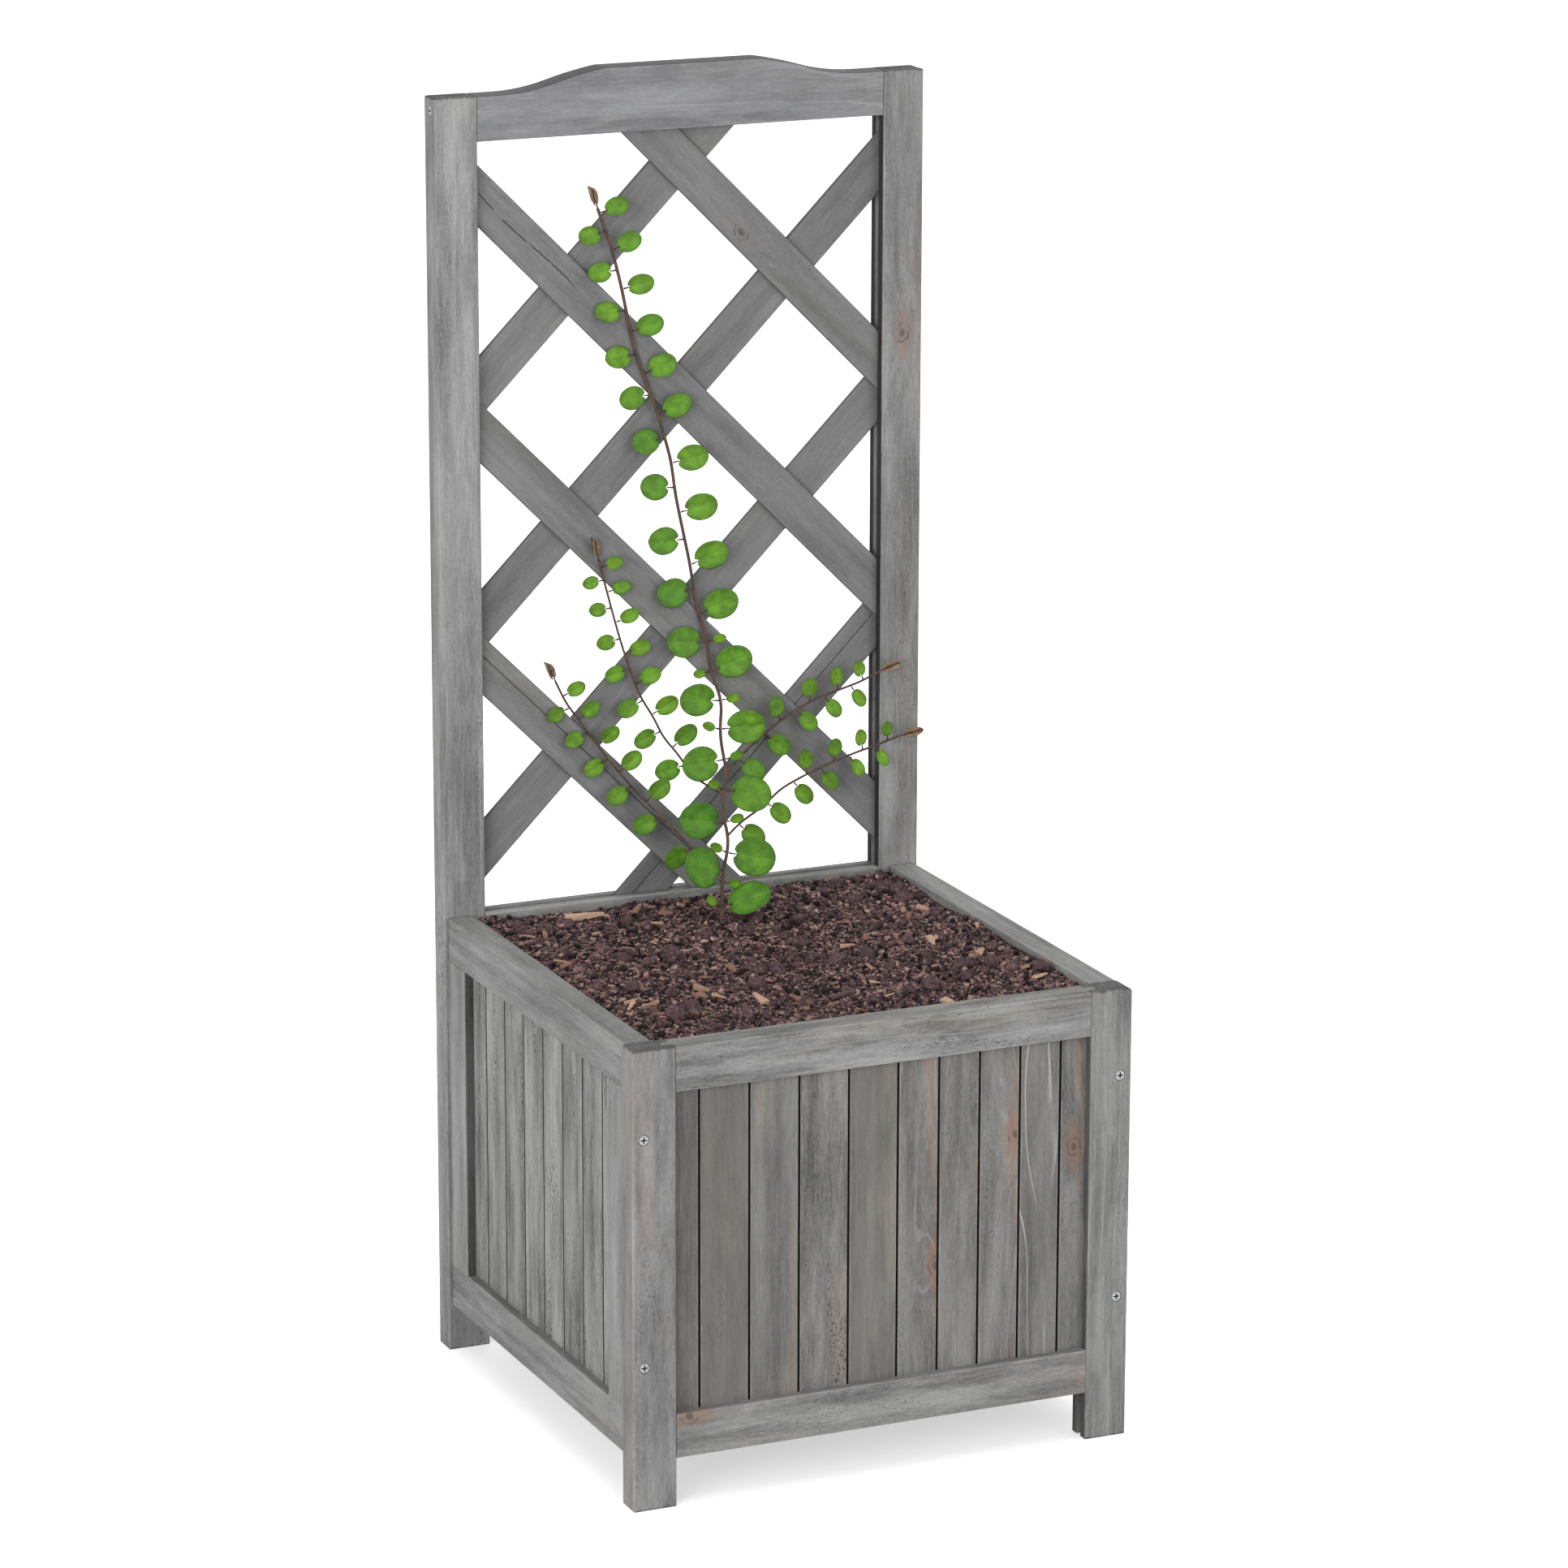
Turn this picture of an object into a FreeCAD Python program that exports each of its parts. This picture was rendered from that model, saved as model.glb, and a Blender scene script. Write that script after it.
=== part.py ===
"""Square garden planter with a lattice trellis at its back, filled with soil and a young climber.

All sizes are in millimetres. The origin lies on the floor under the middle of the planter.
X runs to the right, Y runs from the front to the back and Z runs up.
"""
import FreeCAD
import Part
import math
import os
import random

Vec = FreeCAD.Vector

# ---- Driving sizes: the whole planter ----
overall_width = 400.0        # across the front, post to post
overall_depth = 393.0        # front of the box to the back of the trellis
box_height = 350.0           # rim of the planter box
trellis_height = 980.0       # top of the two tall posts
foot_height = 37.0           # clear gap under the bottom rails

# ---- Driving sizes: the milled board that posts, rails and stiles are cut from ----
board_face = 34.0            # wide side
board_thick = 21.0           # narrow side
groove_width = 7.0           # groove milled along the middle of one narrow side
groove_depth = 9.0
edge_round = 1.2             # eased long edges
end_round = 1.0              # eased board ends
front_corner_round = 4.0     # worn outer top corner of the short front posts
trellis_corner_round = 2.0   # outer top corner of the tall posts

# ---- Driving sizes: infill ----
wide_slat = 39.5             # front slats left of the middle
narrow_slat = 33.0           # front slats right of the middle
side_slat = 38.5
front_slat_count = 4         # full front slats of each of the two widths
side_slat_count = 6          # full slats in a side panel, besides one narrow slat at each end
back_slat_count = 8          # full slats in the back panel, besides one narrow slat at each end
slat_edge_round = 0.9
lath_width = 33.0
laths_each_way = 4
lath_edge_round = 0.6
top_lath_drop = 25.0         # crossing point of the top two laths, below the header
low_lath_rise = 31.0         # crossing point of the lowest two laths, above the box
drying_split = 0.9           # width of the long split in the lowest lath of each layer
split_depth = 1.4
split_share = 0.36           # where the split runs across the lath, from its upper edge

# ---- Driving sizes: arched header ----
arch_rise = 15.5             # flat top of the arch above the tall posts
arch_flat = 128.0            # length of that flat
arch_shoulder = 18.0         # level stretch between a curved flank and its post
arch_turn_share = 0.53       # where the flank turns from hollow to round, along its length
arch_turn_height = 0.42      # and how far up it then is

# ---- Driving sizes: floor, soil and screws ----
side_inset = 3.0             # side panels stand back from the outer faces of the posts
floor_thick = 9.0
floor_count = 5
floor_gap = 4.0              # drainage gap between floor boards
cleat_size = 18.0
soil_drop = 3.0              # highest soil, round the foot of the climber, below the rim
foot_x = -6.0                # foot of the climber
foot_ahead = 86.0            # and how far it stands in front of the trellis
soil_waves = 4               # waves that make the soil uneven, all with a crest at the climber
soil_heave = 0.7             # half the height of each wave
longest_wave = 150.0
wave_shrink = 0.76           # length of each wave over the one before
wave_turn = 67.0             # turn from each wave's direction to the next, in degrees
soil_cells = 24              # points along each side that the soil surface is drawn through
screw_head = 8.0
screw_shank = 4.0
screw_dome = 0.12            # rise of the head towards its middle
screw_rim = 0.5              # straight edge of the head, over its cone
screw_point = 0.3            # radius of the blunted point
recess_reach = 5.0           # cross recess: length of each arm, end to end
recess_width = 1.1
recess_depth = 1.9
screw_sink = 0.2             # head top below the face of the wood
panel_screw_length = 45.0
header_screw_length = 60.0
cleat_screw_length = 32.0
panel_screw_edge = 9.0       # from the outer face of the post
panel_screw_low = 110.0      # height of the lower screws
panel_screw_drop = 67.0      # upper screws below the rim
header_screw_drop = 10.0     # below the top of the tall post
cleat_screw_share = 0.25     # from each end of the cleat

# ---- Clearances ----
fit_gap = 0.2                # each side of a tongue or slat in its groove
end_gap = 0.5                # between a tongue and the bottom of its groove
seam_gap = 0.4               # between neighbouring slats
soil_gap = 0.3
screw_gap = 0.1
floor_end_gap = 0.5

# ---- Worked out from the driving sizes ----
half_width = overall_width / 2
front_y = -overall_depth / 2
back_y = overall_depth / 2
trellis_y = back_y - board_thick            # front face of the tall posts
front_inner_y = front_y + board_thick       # back face of the front frame
panel_length = trellis_y - front_inner_y
panel_x = half_width - side_inset           # outer face of a side panel
panel_inner_x = panel_x - board_thick
opening_half = half_width - board_face      # half the gap between two posts
rail_top_low = box_height - board_face      # underside of the top rails
rail_bottom_top = foot_height + board_face  # top side of the bottom rails
header_low = trellis_height - board_face
lip = (board_thick - groove_width) / 2
tongue_thick = groove_width - 2 * fit_gap
tongue_reach = groove_depth - end_gap
lath_thick = tongue_thick / 2
soil_top = box_height - soil_drop
cleat_top = foot_height + cleat_size
floor_top = cleat_top + floor_thick
arch_run = opening_half - arch_flat / 2 - arch_shoulder   # length of each curved flank
top_crossing = header_low - top_lath_drop
low_crossing = box_height + low_lath_rise
lath_pitch = (top_crossing - low_crossing) / (laths_each_way - 1)


def arc_between(start, tangent, finish):
    """Arc that leaves start along tangent and ends at finish, with its tangent there."""
    chord = finish - start
    side = chord - tangent * chord.dot(tangent)
    normal = Vec(side).normalize()
    radius = chord.dot(chord) / (2 * chord.dot(normal))
    centre = start + normal * radius
    middle = (start + finish) * 0.5 - centre
    middle = centre + middle.normalize() * radius
    along = Vec(chord).normalize()
    end_tangent = along * (2 * tangent.dot(along)) - tangent
    return Part.Arc(start, middle, finish).toShape(), end_tangent


def rounded_wire(corners):
    """Closed wire in the XY plane through (x, y, radius) corners."""
    starts = []
    ends = []
    arcs = []
    count = len(corners)
    for i in range(count):
        x, y, radius = corners[i]
        here = Vec(x, y, 0)
        before = Vec(corners[i - 1][0], corners[i - 1][1], 0) - here
        after = Vec(corners[(i + 1) % count][0], corners[(i + 1) % count][1], 0) - here
        before.normalize()
        after.normalize()
        if radius <= 0:
            starts.append(here)
            ends.append(here)
            arcs.append(None)
            continue
        half = before.getAngle(after) / 2
        reach = radius / math.tan(half)
        inward = (before + after).normalize()
        middle = here + inward * (radius / math.sin(half) - radius)
        starts.append(here + before * reach)
        ends.append(here + after * reach)
        arcs.append(Part.Arc(starts[-1], middle, ends[-1]).toShape())
    edges = []
    for i in range(count):
        if arcs[i] is not None:
            edges.append(arcs[i])
        nxt = starts[(i + 1) % count]
        if (nxt - ends[i]).Length > 1e-6:
            edges.append(Part.LineSegment(ends[i], nxt).toShape())
    return Part.Wire(edges)


def placed(shape, origin, face_way, thick_way):
    """Shape made with its face along X and its thickness along Y, put at origin along two ways."""
    long_way = face_way.cross(thick_way)
    matrix = FreeCAD.Matrix(
        face_way.x, thick_way.x, long_way.x, origin.x,
        face_way.y, thick_way.y, long_way.y, origin.y,
        face_way.z, thick_way.z, long_way.z, origin.z,
        0, 0, 0, 1)
    moved = shape.copy()
    moved.Placement = FreeCAD.Placement(matrix)
    return moved


def mirrored(shape):
    return shape.mirror(Vec(0, 0, 0), Vec(1, 0, 0))


RIGHT = Vec(1, 0, 0)
BACKWARD = Vec(0, 1, 0)
UP = Vec(0, 0, 1)
DOWN = Vec(0, 0, -1)
FORWARD = Vec(0, -1, 0)


# ---- Boards ----
def board_section(outer_groove=False):
    """Section of the milled board: groove in its inner narrow side, and in the outer one if asked."""
    low = lip
    high = lip + groove_width
    corners = [(0, 0, edge_round), (board_face, 0, edge_round)]
    corners += [(board_face, low, 0), (board_face - groove_depth, low, 0)]
    corners += [(board_face - groove_depth, high, 0), (board_face, high, 0)]
    corners += [(board_face, board_thick, edge_round), (0, board_thick, edge_round)]
    if outer_groove:
        corners += [(0, high, 0), (groove_depth, high, 0), (groove_depth, low, 0), (0, low, 0)]
    return rounded_wire(corners)


def milled_board(length, outer_groove=False):
    section = Part.Face(board_section(outer_groove))
    return section.extrude(Vec(0, 0, length))


def post(height, corner_round):
    """Upright post: outer edge at X = 0, groove at X = board_face, foot at Z = 0."""
    outline = [(0, 0, end_round), (board_face, 0, end_round)]
    outline += [(board_face, height, 2 * end_round), (0, height, corner_round)]
    view = Part.Face(rounded_wire(outline)).extrude(Vec(0, 0, board_thick))
    view.rotate(Vec(0, 0, 0), Vec(1, 0, 0), 90)
    view.translate(Vec(0, board_thick, 0))
    return milled_board(height).common(view)


def rail(length, outer_groove=False, tongues=True):
    """Rail between two posts, with a stub tongue at each end that fills the groove of the post."""
    body = milled_board(length, outer_groove)
    if not tongues:
        return body
    low = groove_depth if outer_groove else 0.0
    width = board_face - groove_depth - low
    tongue = Part.makeBox(width, tongue_thick, tongue_reach)
    tongue.translate(Vec(low, lip + fit_gap, -tongue_reach))
    other = tongue.copy()
    other.translate(Vec(0, 0, length + tongue_reach))
    return body.fuse([tongue, other]).removeSplitter()


def slat(width, thick, length, edge):
    section = rounded_wire([(0, 0, edge), (width, 0, edge), (width, thick, edge), (0, thick, edge)])
    return Part.Face(section).extrude(Vec(0, 0, length))


def slat_edges(inside, full_widths):
    """Start and width of each slat across a panel: full slats, and a narrow one at each end
    that fills what is left and stands in the groove of the post or stile."""
    narrow = (inside - sum(full_widths)) / 2 + tongue_reach
    widths = [narrow] + list(full_widths) + [narrow]
    start = -tongue_reach
    places = []
    for width in widths:
        places.append((start + seam_gap / 2, width - seam_gap))
        start += width
    return places


# ---- Screws ----
def screw_profile(length, grow):
    """Half section of a countersunk screw along +Z, from the rim of its head to its point."""
    head = screw_head / 2
    shank = screw_shank / 2
    rim = screw_sink + screw_dome + screw_rim
    neck = rim + head - shank
    points = [(head + grow, rim), (shank + grow, neck), (shank + grow, length - screw_shank)]
    points += [(screw_point + grow, length + grow), (0, length + grow)]
    return points


def turned(points):
    """Solid turned about Z from a half section of (radius, height) points."""
    corners = [Vec(radius, 0, height) for radius, height in points]
    wire = Part.makePolygon(corners + [corners[0]])
    return Part.Face(wire).revolve(Vec(0, 0, 0), Vec(0, 0, 1), 360)


def screw(length):
    """Screw with a cross recess, its axis along +Z into the wood."""
    head = screw_head / 2
    top = [(0, screw_sink), (head - screw_rim, screw_sink + screw_dome)]
    body = turned(top + screw_profile(length, 0.0))
    arm = Part.makeBox(recess_reach, recess_width, recess_depth,
                       Vec(-recess_reach / 2, -recess_width / 2, screw_sink))
    other = Part.makeBox(recess_width, recess_reach, recess_depth,
                         Vec(-recess_width / 2, -recess_reach / 2, screw_sink))
    return body.cut([arm, other])


def screw_hole(length):
    """Room for a screw: its own shape grown by the clearance, open above the head."""
    mouth = screw_head / 2 + screw_gap
    outside = -screw_head
    return turned([(0, outside), (mouth, outside)] + screw_profile(length, screw_gap))


def aimed(shape, point, way):
    """Shape made along +Z, moved to point and turned to run along way."""
    turn = FreeCAD.Rotation(Vec(0, 0, 1), way)
    moved = shape.copy()
    moved.Placement = FreeCAD.Placement(point, turn)
    return moved


def panel_screw_points():
    """Screws through the front and back posts into the stiles of the side panels."""
    heights = [panel_screw_low, box_height - panel_screw_drop]
    across = half_width - panel_screw_edge
    front = []
    back = []
    for height in heights:
        for x in (-across, across):
            front.append((Vec(x, front_y, height), BACKWARD))
            back.append((Vec(x, back_y, height), FORWARD))
    return front, back


def header_screw_points():
    height = trellis_height - header_screw_drop
    y = trellis_y + board_thick / 2
    return [(Vec(-half_width, y, height), RIGHT), (Vec(half_width, y, height), RIGHT * -1)]


def cleat_screw_points():
    points = []
    face = panel_inner_x - cleat_size
    height = foot_height + cleat_size / 2
    for share in (cleat_screw_share, 1 - cleat_screw_share):
        y = front_inner_y + share * panel_length
        points.append((Vec(-face, y, height), RIGHT * -1))
        points.append((Vec(face, y, height), RIGHT))
    return points


def drilled(shape, points, length):
    holes = [aimed(screw_hole(length), point, way) for point, way in points]
    near = [hole for hole in holes if hole.BoundBox.intersect(shape.BoundBox)]
    if not near:
        return shape
    return shape.cut(near)


front_screws, back_screws = panel_screw_points()
panel_screws = front_screws + back_screws
header_screws = header_screw_points()
cleat_screws = cleat_screw_points()


# ---- Front frame ----
def front_frame():
    nodes = {}
    left = placed(post(box_height, front_corner_round), Vec(-half_width, front_y, 0), RIGHT, BACKWARD)
    left = drilled(left, panel_screws, panel_screw_length)
    nodes["front_left_post"] = left
    nodes["front_right_post"] = mirrored(left)
    span = 2 * opening_half
    top = placed(rail(span), Vec(-opening_half, front_y, box_height), DOWN, BACKWARD)
    low = placed(rail(span), Vec(opening_half, front_y, foot_height), UP, BACKWARD)
    nodes["front_top_rail"] = top
    nodes["front_bottom_rail"] = low
    widths = [wide_slat] * front_slat_count + [narrow_slat] * front_slat_count
    length = rail_top_low - rail_bottom_top + 2 * tongue_reach
    for i, (start, width) in enumerate(slat_edges(span, widths)):
        piece = slat(width, tongue_thick, length, slat_edge_round)
        corner = Vec(-opening_half + start, front_y + lip + fit_gap, rail_bottom_top - tongue_reach)
        piece.translate(corner)
        nodes["front_slat_%02d" % (i + 1)] = piece
    return nodes


# ---- Side panels ----
def left_panel():
    """Pieces of the left side panel, named without their side."""
    nodes = {}
    top = rail(panel_length, tongues=False)
    nodes["top_rail"] = placed(top, Vec(-panel_x, trellis_y, box_height), DOWN, RIGHT)
    low = placed(top, Vec(-panel_x, front_inner_y, foot_height), UP, RIGHT)
    nodes["bottom_rail"] = drilled(low, cleat_screws, cleat_screw_length)
    height = rail_top_low - rail_bottom_top
    stile = rail(height)
    rear = placed(stile, Vec(-panel_x, trellis_y, rail_bottom_top), FORWARD, RIGHT)
    front = placed(stile, Vec(-panel_x, front_inner_y, rail_top_low), BACKWARD, RIGHT)
    nodes["rear_stile"] = drilled(rear, panel_screws, panel_screw_length)
    nodes["front_stile"] = drilled(front, panel_screws, panel_screw_length)
    inside = panel_length - 2 * board_face
    length = height + 2 * tongue_reach
    first_y = front_inner_y + board_face
    outer_x = -panel_x + lip + fit_gap
    for i, (start, width) in enumerate(slat_edges(inside, [side_slat] * side_slat_count)):
        piece = slat(width, tongue_thick, length, slat_edge_round)
        corner = Vec(outer_x, first_y + start, rail_top_low + tongue_reach)
        nodes["slat_%d" % (i + 1)] = placed(piece, corner, BACKWARD, RIGHT)
    return nodes


def side_panels():
    nodes = {}
    for name, shape in left_panel().items():
        nodes["left_" + name] = shape
        nodes["right_" + name] = mirrored(shape)
    return nodes


# ---- Back frame with its lattice ----
def header():
    """Top board of the trellis: straight underside with a groove, arched top."""
    low = header_low
    level = trellis_height
    crown = trellis_height + arch_rise
    flat = arch_flat / 2
    foot = flat + arch_run
    turn_x = foot - arch_run * arch_turn_share
    turn_z = level + arch_rise * arch_turn_height
    lower, tangent = arc_between(Vec(-foot, 0, level), RIGHT, Vec(-turn_x, 0, turn_z))
    upper, _ = arc_between(Vec(-turn_x, 0, turn_z), tangent, Vec(-flat, 0, crown))
    left = [lower, upper]
    right = [mirrored(edge) for edge in left]
    ends = [Vec(-opening_half, 0, level), Vec(-opening_half, 0, low)]
    ends += [Vec(opening_half, 0, low), Vec(opening_half, 0, level)]
    edges = left + right
    edges.append(Part.LineSegment(Vec(-flat, 0, crown), Vec(flat, 0, crown)).toShape())
    edges.append(Part.LineSegment(Vec(-foot, 0, level), ends[0]).toShape())
    edges.append(Part.LineSegment(Vec(foot, 0, level), ends[3]).toShape())
    for a, b in zip(ends, ends[1:]):
        edges.append(Part.LineSegment(a, b).toShape())
    outline = Part.Wire(Part.__sortEdges__(edges))
    body = Part.Face(outline).extrude(Vec(0, board_thick, 0))
    eased = []
    for edge in body.Edges:
        box = edge.BoundBox
        if box.XLength > edge_round and box.YLength < edge_round:
            eased.append(edge)
    body = body.makeFillet(edge_round, eased)
    groove = Part.makeBox(2 * opening_half, groove_width, groove_depth,
                          Vec(-opening_half, lip, low))
    body = body.cut(groove)
    reach = opening_half + tongue_reach
    tongue = Part.makeBox(2 * reach, tongue_thick, board_face - groove_depth - edge_round,
                          Vec(-reach, lip + fit_gap, low + groove_depth))
    body = body.fuse(tongue).removeSplitter()
    body.translate(Vec(0, trellis_y, 0))
    return body


def lattice():
    """Two layers of laths at 45 degrees, let into the grooves all round."""
    nodes = {}
    slope = math.sqrt(0.5)
    reach = opening_half + tongue_reach
    low = box_height - tongue_reach
    high = header_low + tongue_reach
    room = Part.makeBox(2 * reach, board_thick, high - low, Vec(-reach, trellis_y, low))
    length = 4 * reach
    layer_y = trellis_y + lip + fit_gap
    ways = {"lath_front_%d": Vec(slope, 0, slope), "lath_back_%d": Vec(-slope, 0, slope)}
    for layer, (name, across) in enumerate(ways.items()):
        long_way = across.cross(BACKWARD)
        for i in range(laths_each_way):
            piece = slat(lath_width, lath_thick, length, lath_edge_round)
            if i == laths_each_way - 1:
                cut_x = lath_width * (1 - split_share)
                piece = piece.cut(Part.makeBox(drying_split, split_depth, length, Vec(cut_x, 0, 0)))
            centre = Vec(0, layer_y + layer * lath_thick, top_crossing - i * lath_pitch)
            corner = centre - across * (lath_width / 2) - long_way * (length / 2)
            nodes[name % (i + 1)] = placed(piece, corner, across, BACKWARD).common(room)
    return nodes


def back_frame():
    nodes = {}
    tall = post(trellis_height, trellis_corner_round)
    left = placed(tall, Vec(-half_width, trellis_y, 0), RIGHT, BACKWARD)
    left = drilled(left, panel_screws, panel_screw_length)
    left = drilled(left, header_screws, header_screw_length)
    nodes["left_trellis_post"] = left
    nodes["right_trellis_post"] = mirrored(left)
    nodes["trellis_header"] = drilled(header(), header_screws, header_screw_length)
    span = 2 * opening_half
    middle = rail(span, outer_groove=True)
    nodes["trellis_mid_rail"] = placed(middle, Vec(-opening_half, trellis_y, box_height), DOWN, BACKWARD)
    nodes["back_bottom_rail"] = placed(rail(span), Vec(opening_half, trellis_y, foot_height), UP, BACKWARD)
    nodes.update(lattice())
    width = 2 * opening_half / (back_slat_count + 1)
    length = rail_top_low - rail_bottom_top + 2 * tongue_reach
    slats = []
    for start, wide in slat_edges(span, [width] * back_slat_count):
        piece = slat(wide, tongue_thick, length, slat_edge_round)
        piece.translate(Vec(-opening_half + start, trellis_y + lip + fit_gap,
                            rail_bottom_top - tongue_reach))
        slats.append(piece)
    nodes["back_slats"] = Part.makeCompound(slats)
    return nodes


# ---- Floor ----
def floor():
    nodes = {}
    length = panel_length - 2 * floor_end_gap
    cleat = Part.makeBox(cleat_size, length, cleat_size,
                         Vec(-panel_inner_x, front_inner_y + floor_end_gap, foot_height))
    cleat = drilled(cleat, cleat_screws, cleat_screw_length)
    nodes["floor_cleats"] = Part.makeCompound([cleat, mirrored(cleat)])
    wide = (length - (floor_count - 1) * floor_gap) / floor_count
    across = 2 * (panel_inner_x - floor_end_gap)
    boards = []
    for i in range(floor_count):
        board = slat(wide, floor_thick, across, slat_edge_round)
        y = front_inner_y + floor_end_gap + i * (wide + floor_gap)
        boards.append(placed(board, Vec(-across / 2, y, cleat_top), BACKWARD, UP))
    nodes["floor_boards"] = Part.makeCompound(boards)
    return nodes


# ---- Screws ----
def screws():
    groups = {"panel_screws": (panel_screws, panel_screw_length),
              "header_screws": (header_screws, header_screw_length),
              "cleat_screws": (cleat_screws, cleat_screw_length)}
    nodes = {}
    for name, (points, length) in groups.items():
        nodes[name] = Part.makeCompound([aimed(screw(length), point, way) for point, way in points])
    return nodes


# ---- Soil ----
def soil_height(x, y):
    """Height of the soil: level at the foot of the climber and lower all round it."""
    height = soil_top
    foot_y = trellis_y - foot_ahead
    for i in range(soil_waves):
        way = math.radians(wave_turn * i)
        along_wave = (x - foot_x) * math.cos(way) + (y - foot_y) * math.sin(way)
        length = longest_wave * wave_shrink ** i
        height += soil_heave * (math.cos(2 * math.pi * along_wave / length) - 1)
    return height


def above_soil(half_x, half_y):
    """Block of space over the soil, with the uneven surface of the soil as its underside."""
    rows = []
    for i in range(soil_cells + 1):
        x = half_x * (2 * i / soil_cells - 1)
        places = [half_y * (2 * j / soil_cells - 1) for j in range(soil_cells + 1)]
        rows.append([Vec(x, y, soil_height(x, y)) for y in places])
    surface = Part.BSplineSurface()
    surface.interpolate(rows)
    return surface.toShape().extrude(Vec(0, 0, box_height))


def soil():
    """Body of soil on the floor, filling the box out to its slats."""
    low = rail_bottom_top + soil_gap
    high = rail_top_low - soil_gap
    slat_back = lip + fit_gap + tongue_thick + soil_gap
    core_x = panel_inner_x - soil_gap
    core_front = front_inner_y + soil_gap
    core_back = trellis_y - soil_gap
    core = Part.makeBox(2 * core_x, core_back - core_front, soil_top - floor_top,
                        Vec(-core_x, core_front, floor_top))
    wide = opening_half - soil_gap
    deep_front = front_y + slat_back
    deep_back = back_y - slat_back
    through = Part.makeBox(2 * wide, deep_back - deep_front, high - low, Vec(-wide, deep_front, low))
    side = panel_x - slat_back
    stile_front = front_inner_y + board_face + soil_gap
    stile_back = trellis_y - board_face - soil_gap
    across = Part.makeBox(2 * side, stile_back - stile_front, high - low, Vec(-side, stile_front, low))
    body = core.fuse([through, across]).removeSplitter()
    return body.cut(above_soil(half_width, back_y))


# ---- Climber ----
stem_round = 1.3             # radius of the main stem
branch_round = 0.9           # radius of its branches
leaf_thick = 0.8
petiole_round = 0.5
petiole_length = 3.0
notch_share = 0.12           # depth of the notch at the stalk, as a share of the leaf's size
notch_angle = 12.0           # half the opening of that notch, in degrees round the leaf's rim
slim_leaf = 0.58             # width over length of a very small leaf
round_gain = 0.009           # gain of that share for each millimetre of length
young_leaf = 11.0            # small leaf opposite each leaf on the lower main stem
young_reach = 0.42           # how far up the main stem those stand
stalk_share = 0.20           # how far the stalk reaches under the blade
leaf_step = 0.76             # distance between leaves as a share of their size
leaf_gap = 0.2               # between a leaf stalk and its stem
bud_length = 16.0            # folded leaf buds at the tips of the stems
bud_width = 7.0
climber_top_gap = 57.0       # bare lattice between the main stem and the header
tip_clear = 2.0              # bare end of a stem under its bud
step_spread = 1.5            # most change in the distance between leaves, each way
bend_share = 0.45            # part of a stem's straight run that each of its bends takes
grow_seed = 5

# Lean of a leaf stalk, as shares of its run sideways.
lean_ahead = 0.28            # to the front
lean_side_change = 0.12      # more on the right of an upright stem, and less on its left
lean_spread = 0.06
lean_along_least = 0.05      # along the stem
lean_along_most = 0.30
soil_lean_ahead = 0.2        # added near the soil
soil_lean_up = 0.9

# Tilt of a leaf's face, as shares of a face that looks straight ahead.
face_up_most = 0.30
face_twist = 0.15            # most tilt along the stem, each way
soil_face_up = 1.5           # added near the soil
bud_ahead = 0.3              # lean of a bud to the front
bud_face_up = 0.4

# Places along each stem, from the front face of the trellis and over the rim of the box.
main_stem = [(foot_x, -foot_ahead, -soil_drop), (foot_x, -foot_ahead, 0), (8, -54, 13), (14, -44, 26),
             (24, -32, 45), (22, -21, 69), (31, -12, 92), (27, -6, 123), (31, -2, 150), (22, 2, 173),
             (21, 4, 198), (12, 5.6, 225), (8, 5.6, 255), (1, 5.6, 287), (-5, 5.6, 315),
             (-8, 5.6, 340), (-17, 5.6, 371), (-26, 5.6, 397), (-36, 5.6, 422), (-43, 5.6, 450),
             (-49, 5.6, 480), (-58, 4, 511), (-69, 2, 539)]
inner_left_stem = [(23, -15, 78), (3, -8, 93), (-5, -2, 109), (-17, 2, 124), (-24, 4, 140),
                   (-35, 5.6, 158), (-44, 5.6, 182), (-52, 5.6, 207), (-60, 5.6, 236), (-69, 4, 268)]
low_left_stem = [(12, -44, 25), (-6, -28, 42), (-21, -16, 60), (-39, -5, 81), (-55, 1, 101),
                 (-70, 4, 121), (-84, 5.6, 142), (-96, 5.6, 158), (-105, 4, 176)]
high_right_stem = [(31, -12, 93), (44, -8, 105), (59, -5, 115), (78, -1, 126), (95, 1, 135),
                   (114, 2, 142), (134, 0, 148), (149, -3, 153), (162, -6, 160)]
low_right_stem = [(24, -29, 48), (38, -22, 56), (60, -14, 64), (78, -8, 75), (95, -5, 81),
                  (114, -3, 87), (136, -3, 94), (158, -5, 100), (180, -8, 107)]

# Each stem with the size of its first and last leaves and how far up the stem they begin.
climber = [(main_stem, 36.0, 19.0, 18.0), (inner_left_stem, 23.0, 14.0, 22.0),
           (low_left_stem, 23.0, 15.0, 14.0), (high_right_stem, 23.0, 14.0, 16.0),
           (low_right_stem, 23.0, 13.0, 16.0)]


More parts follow.
